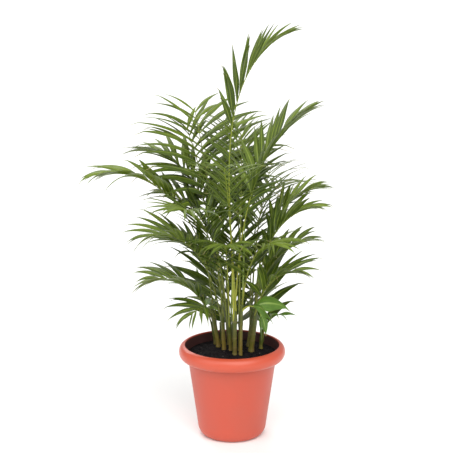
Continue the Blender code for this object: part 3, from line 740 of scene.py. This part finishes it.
def bundle_reach(count):
    """How far from the middle of a stem's top its leaf bases stand, side by side. One alone is in the middle."""
    half = PETIOLE_RADIUS * PETIOLE_CLASP + LEAF_BASE_GAP / 2
    return half / math.sin(math.pi / count) if count > 1 else 0.0


def leaf_base(name, leaf, radius):
    """Where a petiole or spear starts: beside its neighbours, its lowest corner just clear of the stem."""
    aside = bundle_reach(len(leaves_of(leaf.stem)))
    lift = SEAT_GAP + radius * math.sin(math.radians(abs(leaf.lean)))
    return stem_top(STEMS[leaf.stem]) + heading(leaf_turns(leaf.stem)[name]) * aside + UP * lift


def spear_ends(name, spear):
    start, lean = leaf_base(name, spear, SPEAR_RADIUS), math.radians(spear.lean)
    return start, start + (heading(spear.azimuth) * math.sin(lean) + UP * math.cos(lean)) * spear.length

# %% The midline of a frond
class Rachis:
    """The midline of a frond: a point, a direction and a radius for each distance from its base."""

    STEPS = 200

    def __init__(self, name, frond):
        self.length = frond.petiole + frond.blade
        self.frond = frond
        self.points = [leaf_base(name, frond, self.radius(0.0))]
        for i in range(self.STEPS):
            step = self.tangent((i + 0.5) / self.STEPS * self.length) * self.length / self.STEPS
            self.points.append(self.points[-1] + step)

    def tangent(self, distance):
        share = distance / self.length
        lean = math.radians(mix(self.frond.lean, self.frond.tip_lean, share**self.frond.bend))
        level = heading(self.frond.azimuth + self.frond.swing * share)
        return level * math.sin(lean) + UP * math.cos(lean)

    def point(self, distance):
        at = min(distance / self.length, 1.0) * self.STEPS
        i = min(int(at), self.STEPS - 1)
        return self.points[i].lerp(self.points[i + 1], at - i)

    def side(self, distance):
        """To the right, looking along the frond with its upper face up."""
        share = distance / self.length
        return heading(self.frond.azimuth + self.frond.swing * share - 90)

    def radius(self, distance):
        """Swollen where it clasps the stem, then tapering to the tip."""
        share = distance / self.length
        clasp = 1 + (PETIOLE_CLASP - 1) * math.exp(-distance / CLASP_LENGTH)
        return mix(PETIOLE_RADIUS * clasp, RACHIS_TIP_RADIUS, share**0.8)

    def corners(self, distance):
        """The four corners of the cross-section: top, right, bottom and left."""
        middle, along, right = self.point(distance), self.tangent(distance), self.side(distance)
        up, size = right.cross(along), self.radius(distance)
        return [middle + way * size for way in (up, right, -up, -right)]

# %% [markdown]
# ## Leaflets that keep out of each other's way
# A leaflet is a narrow blade on an arc of a circle: it leaves the stalk at its own angle, a little raised, and
# then bows towards the ground. Before it is kept, its envelope is tested against everything grown so far, with
# a tree of boxes that makes each test quick. If it would run into something, it tries a little more raise, then
# more droop, then a shorter blade.

# %% Leaflet measures
LEAFLET_THICKNESS = 0.0009
LEAFLET_BASE_WIDTH = 0.0055
LEAFLET_TILT = 30.0
WIDEST_SHARE = 0.4
FAN_AT_TIP = 0.60
RAISE_ANGLES = (32.0, 12.0)
DROOP = 50.0
FORK_SHARE = 0.985
LEAF_ROOM = 0.0008
STALK_ROOM = 1.6
RIM_ROOM = 0.006
ROOM_TURN_STEPS = 40
PETIOLE_STEP = 0.060
LEAFLET_STATIONS = (0.45,)

# What a leaflet tries, in turn, until it is clear of everything grown so far: more raise, more
# droop and a share of its length.
WAYS = [(0, 0, 1.0), (9, 0, 1.0), (-9, 0, 1.0), (0, 16, 1.0), (0, -16, 1.0), (16, -10, 1.0)]
WAYS += [(-16, 10, 1.0), (24, 0, 1.0), (-24, 0, 1.0), (12, 24, 0.9), (-12, -24, 0.9)]
WAYS += [(0, 0, 0.8), (18, 0, 0.8), (-18, 0, 0.8), (0, 0, 0.6), (14, 0, 0.6), (-14, 0, 0.6)]
WAYS += [(0, 0, 0.42), (20, 0, 0.42), (-20, 0, 0.42)]

# %% A leaflet's arc
class Leaflet:
    """A narrow blade: it leaves the rachis in one direction and arcs over towards the ground."""

    def __init__(self, base, ahead, edge, hand, length, width, droop):
        self.base, self.hand, self.length, self.width = base, hand, length, width
        self.ahead, self.edge = ahead.normalized(), edge
        across = self.ahead.cross(-UP)
        self.turn = math.radians(droop) * across.length
        self.down = across.cross(self.ahead).normalized()

    def point(self, share):
        """An arc of a circle: it has turned by `turn` at the tip."""
        turn = self.turn * share
        if self.turn < 1e-4:
            return self.base + self.ahead * self.length * share
        radius = self.length / self.turn
        return self.base + self.ahead * radius * math.sin(turn) + self.down * radius * (1 - math.cos(turn))

    def direction(self, share):
        turn = self.turn * share
        return self.ahead * math.cos(turn) + self.down * math.sin(turn)

    def half_width(self, share):
        """Narrow at the base, widest before the middle, drawn out to a point."""
        full = mix(LEAFLET_BASE_WIDTH, self.width, min(1.0, share / WIDEST_SHARE))
        return full / 2 * (1 - share**2.6) ** 0.8

    def axes(self, share):
        """The directions along the blade, across it and out of its upper face."""
        along = self.direction(share)
        across = (self.edge - along * self.edge.dot(along)).normalized()
        return along, across, along.cross(across).normalized() * self.hand

    def corners(self, share, spare=0.0):
        """Near top, near bottom, far bottom and far top corners of the cross-section, with room to spare."""
        _, across, normal = self.axes(share)
        middle, half = self.point(share), across * (self.half_width(share) + spare)
        rise = normal * (LEAFLET_THICKNESS / 2 + spare)
        return [middle - half + rise, middle - half - rise, middle + half - rise, middle + half + rise]

    def envelope(self, spare):
        """A closed envelope round the leaflet, for testing what it touches."""
        return lofted([self.corners(share, spare) for share in (0.0, *LEAFLET_STATIONS, 1.0)])


def leaflet_at(rachis, share, hand, more_raise, more_droop, length_share, wobble):
    """The leaflet that sits at a share of the blade, on one hand (1 right, -1 left)."""
    frond = rachis.frond
    distance = frond.petiole + frond.blade * share
    along, right = rachis.tangent(distance), rachis.side(distance) * hand
    up = right.cross(along) * hand
    fan = math.radians(frond.fan * mix(1.0, FAN_AT_TIP, share**1.3) + 5 * wobble[0])
    lift = math.radians(mix(*RAISE_ANGLES, share) + 6 * wobble[1] + more_raise)
    outward = right * math.cos(lift) + up * math.sin(lift)
    ahead = along * math.cos(fan) + outward * math.sin(fan)
    normal = up * math.cos(lift) - right * math.sin(lift)
    edge = (along * math.sin(fan) - outward * math.cos(fan)).normalized()
    tilt = math.radians(LEAFLET_TILT)
    edge = edge * math.cos(tilt) - normal * math.sin(tilt)
    size = 0.4 + 0.6 * math.sin(math.pi * (0.2 + 0.78 * share))
    length = frond.leaflet * size * (1 + 0.06 * wobble[2]) * length_share
    width = frond.width * (1 - 0.45 * share)
    droop = DROOP * (1 + 0.25 * wobble[3]) + more_droop
    base = rachis.point(distance) + outward * rachis.radius(distance) * 0.7
    return Leaflet(base, ahead, edge, hand, length, width, droop)

# %% Room for each leaflet
def box_of(points):
    return [[edge(p[k] for p in points) for k in range(3)] for edge in (min, max)]


class Room:
    """Remembers the space taken so far, so that no two pieces of the plant run through each other."""

    def __init__(self):
        self.taken = []

    def add(self, owner, points, faces):
        self.taken.append((owner, *box_of(points), BVHTree.FromPolygons(points, faces)))

    def clear(self, points, faces, skip):
        (low, high), tree = box_of(points), None
        for owner, other_low, other_high, other in self.taken:
            if owner in skip or any(low[k] > other_high[k] or high[k] < other_low[k] for k in range(3)):
                continue
            tree = tree or BVHTree.FromPolygons(points, faces)
            if tree.overlap(other):
                return False
        return True


def pair_shares(frond):
    """Where along the blade the pairs of leaflets sit; the last pair makes the fork at the tip."""
    return [FORK_SHARE * pair / (frond.pairs - 1) for pair in range(frond.pairs)]


def stalk_ring(rachis, distance):
    """A cross-section of the stalk with room to spare round it."""
    middle = rachis.point(distance)
    return [middle + (corner - middle) * STALK_ROOM for corner in rachis.corners(distance)]


def room_of_stalks(rachises):
    """The room that the pot, the stems, the spears and the stalks of the fronds take up."""
    room = Room()
    rim = LIP_RADIUS + ROLL_REACH + RIM_ROOM
    room.add("pot", *round_post(rim, Vector(), UP * (LIP_HEIGHT + RIM_ROOM), ROOM_TURN_STEPS))
    for name, stem in STEMS.items():
        foot = stem_foot(stem, SOIL_LEVEL)
        room.add(name, *round_post(stem.radius * STALK_ROOM, foot, stem_top(stem), STEM_SIDES))
    for name, spear in SPEARS.items():
        room.add(name, *round_post(SPEAR_RADIUS * STALK_ROOM, *spear_ends(name, spear), STEM_SIDES))
    for name, rachis in rachises.items():
        stops = ring_stops(rachis.frond, pair_shares(rachis.frond))
        room.add(name, *lofted([stalk_ring(rachis, stop) for stop in stops]))
    return room


def grow_leaflets(rachises):
    """{frond: {(pair, hand): leaflet}}: each leaflet takes the first way that has room for it."""
    room = room_of_stalks(rachises)
    grown = {name: {} for name in rachises}
    for name, rachis in rachises.items():
        chance = random.Random(name)
        for pair, share in enumerate(pair_shares(rachis.frond)):
            for hand in (1, -1):
                wobble = [chance.uniform(-1, 1) for _ in range(4)]
                for way in WAYS:
                    leaflet = leaflet_at(rachis, share, hand, *way, wobble)
                    if room.clear(*leaflet.envelope(LEAF_ROOM), skip=(name, (name, pair))):
                        room.add((name, pair), *leaflet.envelope(LEAF_ROOM / 4))
                        grown[name][pair, hand] = leaflet
                        break
    return grown


def ring_stops(frond, shares):
    """How far along a frond its rings stand: a plain petiole, then two close rings at each pair."""
    petiole_rings = max(2, round(frond.petiole / PETIOLE_STEP))
    stops = [frond.petiole * i / petiole_rings for i in range(petiole_rings)]
    for share in shares:
        middle = frond.petiole + frond.blade * share
        stops += [middle - LEAFLET_BASE_WIDTH / 2, middle + LEAFLET_BASE_WIDTH / 2]
    return stops

# %% Growing every leaflet's place
rachises = {name: Rachis(name, frond) for name, frond in FRONDS.items()}
leaflets = grow_leaflets(rachises)
print("leaflets:", sum(len(of_one) for of_one in leaflets.values()), "on", len(leaflets), "fronds")
left_out = {name: 2 * rachis.frond.pairs - len(leaflets[name]) for name, rachis in rachises.items()}
print("left out for want of room:", {name: count for name, count in left_out.items() if count})

# %% [markdown]
# ## Green finishes
# A palm's greens come from one plant but differ by part and age. Canes are yellow-green, with fibres along them,
# pale rings where old leaves fell and brown husk low down. Leaf stalks are clearer yellow. Blades are deep green
# with a pale midrib, faint parallel veins, and tips that dry out first. No two leaflets are quite the same tone.
# Part of the tone is painted light and shade: leaflets deep and low in the crown and stalks towards the back are
# painted darker as shade, and leaflets out at the edge and the crest are painted lighter as light. Each mesh
# carries values for where a point lies on its own part, and the materials read them, so the pattern follows the
# leaf wherever it bends.

# %% Group: leaf blade
numbers, colours = ("Along", "Across", "Tone"), ("Deep", "Fresh", "Rib", "Dry")
leaf_blade, given, gives = new_group(
    "leaf_blade",
    dict.fromkeys(numbers, "Float") | dict.fromkeys(colours, "Color"),
    {"Colour": "Color", "Height": "Float", "Gloss": "Float"},
)
tree = leaf_blade
along, across, tone, fresh, rib_colour = (given[name] for name in (*numbers, "Fresh", "Rib"))


def spot_from(tree, **axes):
    return place(tree, "ShaderNodeCombineXYZ", None, **axes).outputs[0]


spot = spot_from(tree, X=times(tree, across, 9.0), Y=times(tree, along, 2.2), Z=times(tree, tone, 57.0))
veins = use_group(tree, streaks, Vector=spot, Colour=given["Deep"], Streak=fresh, Amount=0.32)
spot = spot_from(tree, X=across, Y=times(tree, along, 6.0), Z=times(tree, tone, 31.0))
patch = ramp(tree, speckle(tree, spot, 0.8, 2.0), 0.35, 0.7)
share = maths(tree, "ADD", times(tree, tone, 0.62), times(tree, patch, 0.24))
off_rib = maths(tree, "ABSOLUTE", across)
rib = ramp(tree, off_rib, 0.17, 0.06)
fading = ramp(tree, along, 0.95, 0.35, 0.35, 0.85)
edge = ramp(tree, off_rib, 0.90, 1.0, 0.0, 0.35)
foot = ramp(tree, along, 0.10, 0.0, 0.0, 0.65)
colour = blend(tree, share, veins["Colour"], fresh)
for paler in (times(tree, rib, fading), edge, foot):
    colour = blend(tree, paler, colour, rib_colour)
dry_at = maths(tree, "ADD", along, times(tree, maths(tree, "SUBTRACT", patch, 0.5), 0.05))
dry = ramp(tree, dry_at, 0.93, 0.99, 0.0, 0.85)
raised = maths(tree, "ADD", times(tree, veins["Height"], 0.35), times(tree, rib, 0.65))
gloss = maths(tree, "ADD", ramp(tree, patch, 0.0, 1.0, 0.36, 0.47), times(tree, dry, 0.25))
wire(tree, gives, Colour=blend(tree, dry, colour, given["Dry"]), Height=raised, Gloss=gloss)

# %% Leaf materials
DRY_TIP = (0.36, 0.30, 0.13, 1)


def leaf_material(name, deep, fresh, rib):
    made, tree, shader = new_material(name, 0.42, Specular_IOR_Level=0.35)
    parts = {way: attribute(tree, way.lower()) for way in numbers}
    blade = use_group(tree, leaf_blade, Deep=deep, Fresh=fresh, Rib=rib, Dry=DRY_TIP, **parts)
    bump = bump_from(tree, blade["Height"], 0.45, 0.0004)
    wire(tree, shader, Base_Color=blade["Colour"], Roughness=blade["Gloss"], Normal=bump)
    return made


greens = (0.020, 0.046, 0.003, 1), (0.150, 0.215, 0.018, 1), (0.25, 0.32, 0.045, 1)
blade_green = leaf_material("palm_blade", *greens)
greens = (0.060, 0.135, 0.014, 1), (0.155, 0.29, 0.030, 1), (0.26, 0.38, 0.08, 1)
young_green = leaf_material("young_blade", *greens)

# %% Stalk, spear and cane materials
def stalk_material(name, green, yellow, streak, roughness, shaded=None):
    """A round stalk: greener towards its tip, with fibres drawn out along it. Given a shaded colour, it is painted
    that darker green where its tone is low, as painted shade.
    """
    made, tree, shader = new_material(name, roughness, Specular_IOR_Level=0.5)
    fibres = stretched(tree, object_point(tree), (420.0, 420.0, 26.0))
    rise = attribute(tree, "along")
    ground = blend(tree, ramp(tree, rise, 0.15, 0.95), yellow, green)
    if shaded:
        ground = blend(tree, ramp(tree, attribute(tree, "tone"), 0.35, 0.80), shaded, ground)
    drawn = use_group(tree, streaks, Vector=fibres, Colour=ground, Streak=streak, Amount=0.5)
    spots = {"Point": object_point(tree), "Scale": 26.0, "Amount": 0.35}
    drift = use_group(tree, patches, Colour=drawn["Colour"], Drift=green, **spots)
    rough = ramp(tree, drift["Mask"], 0.0, 1.0, roughness - 0.05, roughness + 0.07)
    bump = bump_from(tree, drawn["Height"], 0.3, 0.0003)
    wire(tree, shader, Base_Color=drift["Colour"], Roughness=rough, Normal=bump)
    return made


greens = (0.15, 0.22, 0.020, 1), (0.31, 0.33, 0.022, 1), (0.36, 0.35, 0.040, 1)
stalk_yellow = stalk_material("leaf_stalk", *greens, 0.42, (0.050, 0.080, 0.010, 1))
greens = (0.17, 0.28, 0.045, 1), (0.30, 0.36, 0.07, 1), (0.10, 0.20, 0.03, 1)
spear_green = stalk_material("folded_leaf", *greens, 0.45)

cane_finish, tree, shader = new_material("ringed_cane", 0.5, Specular_IOR_Level=0.45)
point = object_point(tree)
rise, scar, tone = attribute(tree, "along"), attribute(tree, "scar"), attribute(tree, "tone")
golden = blend(tree, tone, (0.125, 0.120, 0.016, 1), (0.30, 0.22, 0.022, 1))
ground = blend(tree, ramp(tree, rise, 0.35, 0.95), golden, (0.075, 0.105, 0.012, 1))
drawn = stretched(tree, point, (380.0, 380.0, 18.0))
fibres = use_group(tree, streaks, Vector=drawn, Colour=ground, Streak=(0.085, 0.090, 0.018, 1), Amount=0.55)
torn, brown = stretched(tree, point, (1.0, 1.0, 0.35)), (0.150, 0.080, 0.028, 1)
husk = use_group(tree, patches, Point=torn, Scale=75.0, Colour=fibres["Colour"], Drift=brown, Amount=1.0)
low_down = ramp(tree, rise, 0.75, 0.22, 0.12, 0.65)
colour = blend(tree, low_down, fibres["Colour"], husk["Colour"])
colour = blend(tree, times(tree, scar, 0.6), colour, (0.20, 0.145, 0.060, 1))
soiled = ramp(tree, rise, 0.16, 0.05, 0.0, 0.75)
colour = blend(tree, soiled, colour, (0.035, 0.024, 0.014, 1))
rough = ramp(tree, husk["Mask"], 0.0, 1.0, 0.42, 0.62)
wire(tree, shader, Base_Color=colour, Roughness=rough, Normal=bump_from(tree, fibres["Height"], 0.35, 0.0004))
print("materials:", sorted(m.name for m in bpy.data.materials if m.use_nodes))

# %% [markdown]
# ## Canes
# A cane is a round stem with a ring wherever a leaf once clasped it, a slight flare where it meets the mix, and
# at its top the sheath that the leaf stalks come out of. A swept curve would give an even tube. Rings of points
# set one by one let the radius follow the scars, the flare and the sheath.

# %% Mesh of a round stalk
class Build:
    """Collects points, faces and marks of one mesh made of several closed bodies."""

    def __init__(self, *marks):
        self.points, self.faces, self.finishes = [], [], []
        self.marks = {mark: [] for mark in marks}

    def ring(self, corners, **marks):
        first = len(self.points)
        self.points += corners
        for name, numbers in self.marks.items():
            value = marks.get(name, 0.0)
            numbers += value if isinstance(value, list) else [value] * len(corners)
        return list(range(first, len(self.points)))

    def skin(self, rings, finish=0, closed_tip=None):
        """Faces between rings, with a cap at the first and a cap or one tip point at the last."""
        made = [tuple(reversed(rings[0]))]
        pairs = [(i, (i + 1) % len(rings[0])) for i in range(len(rings[0]))]
        for low, high in zip(rings, rings[1:]):
            made += [(low[i], low[k], high[k], high[i]) for i, k in pairs]
        last = rings[-1]
        made += [tuple(last)] if closed_tip is None else [(last[i], last[k], closed_tip) for i, k in pairs]
        self.faces += made
        self.finishes += [finish] * len(made)

    def mesh(self, name, sharp=50):
        made = bpy.data.meshes.new(name)
        made.from_pydata(self.points, [], self.faces)
        set_marks(made, self.marks)
        made.polygons.foreach_set("material_index", self.finishes)
        made.polygons.foreach_set("use_smooth", [True] * len(self.faces))
        made.update()
        made.set_sharp_from_angle(angle=math.radians(sharp))
        return made


# %% Mesh of a cane
CANE_SIDES = 22
CANE_STEP = 0.0028
SCAR_SPACING = 0.021
SCAR_PROUD = 0.00045
SCAR_LENGTH = 0.0011
SHEATH_RISE = 0.026
SHEATH_SWELL = 0.02
LONE_BUNDLE = 0.004
FLARE = 0.22
FLARE_LENGTH = 0.009


def scar_levels(name, stem):
    """How far up a cane its leaf scars are, at uneven steps round SCAR_SPACING."""
    chance, levels, at = random.Random("scars " + name), [], STEM_BURIED + 0.008
    while at < STEM_BURIED + stem.height:
        levels.append(at)
        at += SCAR_SPACING * chance.uniform(0.75, 1.25)
    return levels


def cluster_radius(name):
    """How wide the bundle of leaf stalks is at the top of a cane."""
    count = len(leaves_of(name))
    return bundle_reach(count) + PETIOLE_RADIUS if count > 1 else LONE_BUNDLE


def cane_line(stem, distance):
    """The middle of a cane at a distance from its foot: straight up to just above the mix, then leaning out in a
    straight line.
    """
    foot = stem_foot(stem, SOIL_LEVEL - STEM_BURIED)
    knee = STEM_BURIED + SOIL_CROWN + KNEE_ABOVE_SOIL
    rise = stem.height + STEM_BURIED - knee
    share = max(distance - knee, 0.0) / rise
    return foot + UP * distance + Vector((stem.lean_x, stem.lean_y, 0.0)) * share


def make_cane(name, stem):
    chance = random.Random("cane " + name)
    tone, phase = chance.random(), chance.uniform(0, 360)
    scars = scar_levels(name, stem)
    full = STEM_BURIED + stem.height
    steps = round((full + SHEATH_RISE) / CANE_STEP)
    build = Build("along", "scar", "tone")
    rings = []
    for i in range(steps + 1):
        distance = (full + SHEATH_RISE) * i / steps
        share = distance / full
        scar = max(math.exp(-(((distance - at) / SCAR_LENGTH) ** 2)) for at in scars)
        flare = FLARE * math.exp(-((max(distance - STEM_BURIED, 0.0) / FLARE_LENGTH) ** 2))
        radius = stem.radius * mix(1.0, STEM_WAIST, smooth_step(share * 1.4)) * (1 + flare) + SCAR_PROUD * scar
        if distance > full - SHEATH_SWELL:
            swollen = smooth_step((distance - full + SHEATH_SWELL) / SHEATH_SWELL)
            close = 1 - 0.30 * smooth_step((distance - full) / SHEATH_RISE)
            radius = mix(stem.radius * STEM_WAIST, cluster_radius(name), swollen) * close
        middle = cane_line(stem, distance)
        corners = []
        for k in range(CANE_SIDES):
            turn = phase + 360 * k / CANE_SIDES
            lobes = 1 + 0.035 * math.sin(math.radians(3 * turn))
            lobes += 0.02 * math.sin(math.radians(7 * turn + 900 * share))
            corners.append(middle + heading(turn) * radius * lobes)
        rings.append(build.ring(corners, along=min(share, 1.0), scar=scar, tone=tone))
    build.skin(rings)
    return add_piece(name + "_fine", build.mesh(name + "_fine"), cane_finish)


for name, stem in STEMS.items():
    cane = make_cane(name, stem)
    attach(cane, "root")
    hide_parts(name)
print("canes:", len(STEMS), "with rings every", SCAR_SPACING * 1000, "mm")

# %% [markdown]
# ## Spears
# A spear is a new leaf, still folded flat round its own midrib. It is a slender rod that swells a little past
# its foot and runs out to a point. It is built like a cane, with a pleated section.

# %% Spears
SPEAR_SIDES = 12
SPEAR_STEPS = 40
SPEAR_PLEAT = 0.86


def make_spear(name, spear):
    start, end = spear_ends(name, spear)
    build = Build("along")
    rings = []
    for i in range(SPEAR_STEPS):
        share = i / SPEAR_STEPS
        taper = (1.0 + 0.12 * math.sin(math.pi * min(share * 2, 1.0))) * (1 - share**2.2) ** 0.9
        middle = start.lerp(end, share)
        corners = []
        for k in range(SPEAR_SIDES):
            pleat = SPEAR_PLEAT if k % 2 else 1.0
            corners.append(middle + heading(360 * k / SPEAR_SIDES) * SPEAR_RADIUS * taper * pleat)
        rings.append(build.ring(corners, along=share))
    tip = build.ring([end], along=1.0)[0]
    build.skin(rings, closed_tip=tip)
    return add_piece(name + "_fine", build.mesh(name + "_fine"), spear_green)


for name, spear in SPEARS.items():
    piece = make_spear(name, spear)
    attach(piece, "root")
    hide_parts(name)
print("spears:", len(SPEARS))

# %% [markdown]
# ## Fronds
# A leaflet isn't a flat strip. It is folded along its midrib like a shallow roof, most of all at its foot, its
# margins are thinner than its rib, it twists a little on its way out, and it is drawn out to a fine point. The
# stalk is round below and channelled above. Each leaflet here is a closed body lofted along its arc through
# thirteen sections to a point, so that it bends smoothly and catches the light as a real one does. All the
# leaflets of a frond and its stalk make one piece, because the frond grew as one leaf.

# %% Mesh of a leaflet
BLADE_SECTIONS = 13
BLADE_THICKNESS = 0.0005
FOLD_AT_FOOT = 0.62
FOLD_AT_TIP = 0.20
TWIST = 26.0
SWAY = 0.035
HAIR_TIP = 0.10
TIP_SAG = 0.5
SECTION = [(-1.0, 0), (-0.55, 1), (0.0, 1), (0.55, 1), (1.0, 0), (0.55, -1), (0.0, -1), (-0.55, -1)]


def blade_half_width(leaflet, share):
    """Narrow at the foot, widest before the middle, then an even, slightly full taper to the point."""
    swell = mix(LEAFLET_BASE_WIDTH * 0.8, leaflet.width, smooth_step(share / WIDEST_SHARE * 0.9))
    past = max(share - WIDEST_SHARE * 0.8, 0.0) / (1 - WIDEST_SHARE * 0.8)
    return swell / 2 * (1 - past**1.45)


def add_leaflet(build, leaflet, chance, tone, finish):
    """A folded, thin-edged blade along the leaflet's arc."""
    twist, sway = chance.uniform(-1, 1) * TWIST, chance.uniform(-1, 1) * SWAY * leaflet.length
    section = SECTION if leaflet.hand > 0 else SECTION[:1] + SECTION[:0:-1]
    asides = [aside for aside, _ in section]
    rings = []
    for i in range(BLADE_SECTIONS):
        share = (i / BLADE_SECTIONS) ** 0.92
        along, across, normal = leaflet.axes(share)
        turn = Matrix.Rotation(math.radians(twist) * share**1.5, 3, along)
        middle = leaflet.point(share) + across * sway * share**2
        across, normal = turn @ across, turn @ normal
        half = blade_half_width(leaflet, share)
        fold = mix(FOLD_AT_FOOT, FOLD_AT_TIP, smooth_step(share * 1.6)) * half
        thick = BLADE_THICKNESS / 2 * mix(1.5, 0.7, share)
        corners = []
        for aside, side in section:
            rise = fold * (0.5 - abs(aside) ** 1.25) + side * thick * (1.6 if aside == 0 else 1.0)
            corners.append(middle + across * half * aside + normal * rise)
        rings.append(build.ring(corners, along=share, across=asides, tone=tone))
    along, across, _ = leaflet.axes(1.0)
    end = leaflet.point(1.0) + across * sway + (along - UP * TIP_SAG) * HAIR_TIP * leaflet.length
    tip = build.ring([end], along=1.0, across=0.0, tone=tone)[0]
    build.skin(rings, finish, closed_tip=tip)


# %% Painted light and shade of a leaflet, by where it grows
HEART_REACH = 0.16
OUTER_REACH = 0.09
HEART_LOW = 0.42
HEART_HIGH = 0.72
CREST_LOW = 0.76
CREST_HIGH = 1.00


def painted_light_at(place):
    """Painted light and shade: leaves deep and low in the crown's heart are painted darker as shade, and leaves
    out at the edge and at the crest are painted lighter as light.
    """
    reach = math.hypot(place.x, place.y)
    inward = 1 - smooth_step(reach / HEART_REACH)
    outward = smooth_step((reach - OUTER_REACH) / OUTER_REACH)
    low = 1 - smooth_step((place.z - HEART_LOW) / (HEART_HIGH - HEART_LOW))
    crest = smooth_step((place.z - CREST_LOW) / (CREST_HIGH - CREST_LOW))
    return 0.40 * crest + 0.30 * outward - 0.75 * inward * low


# %% Mesh of a frond
STALK_SIDES = 10
STALK_STEP = 0.006
CHANNEL = 0.22
STALKS_DEPTH = 0.10


def add_stalk(build, rachis, end, tone):
    """The petiole and rachis: a tube that is channelled on its upper side and swollen at its foot."""
    steps = max(12, round(end / STALK_STEP))
    rings = []
    for i in range(steps + 1):
        distance = end * i / steps
        middle, along, right = rachis.point(distance), rachis.tangent(distance), rachis.side(distance)
        up, size = right.cross(along), rachis.radius(distance)
        corners = []
        for k in range(STALK_SIDES):
            turn = math.tau * k / STALK_SIDES
            lift = math.cos(turn)
            lift -= CHANNEL * max(lift, 0.0) ** 4
            corners.append(middle + (up * lift + right * math.sin(turn)) * size)
        rings.append(build.ring(corners, along=distance / end, across=0.0, tone=tone))
    build.skin([list(reversed(ring)) for ring in rings], 1)


def make_frond(name, rachis, own_leaflets, blade):
    chance = random.Random("blades " + name)
    tone = chance.uniform(0.15, 0.6)
    build = Build("along", "across", "tone")
    end = ring_stops(rachis.frond, pair_shares(rachis.frond))[-1]
    # The stalk's tone falls from the front of the crown to the back, so stalks further back get painted shade.
    add_stalk(build, rachis, end, smooth_step(0.5 - rachis.points[0].y / STALKS_DEPTH))
    for leaflet in own_leaflets.values():
        # A leaflet's tone is the frond's own, plus a random spread, plus painted light and shade from where it
        # grows in the crown.
        own = tone + chance.uniform(-0.48, 0.48) + painted_light_at(leaflet.base)
        add_leaflet(build, leaflet, chance, min(max(own, 0.0), 1.0), 0)
    return add_piece(name + "_fine", build.mesh(name + "_fine"), blade, stalk_yellow)


# Only these young fronds get the young green. The young fronds further back in the crown get the darker blade
# green as painted shade.
LIT_YOUNG = ("young_front", "young_right_front", "young_left_front")
faces_made = 0
for name, rachis in rachises.items():
    piece = make_frond(name, rachis, leaflets[name], young_green if name in LIT_YOUNG else blade_green)
    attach(piece, "root")
    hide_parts(name)
    faces_made += len(piece.data.polygons)
print("fronds:", len(rachises), "with", faces_made, "faces")

# %% [markdown]
# ## Sizes
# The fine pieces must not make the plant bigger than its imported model. The two boxes are written down side by
# side, so that they can be compared after each change.

# %% Sizes and the end
visual_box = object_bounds()
for way, (low, high) in (("model", cad_box), ("fine", visual_box)):
    print(way, "box in mm:", [round((high[k] - low[k]) * 1000, 1) for k in range(3)])
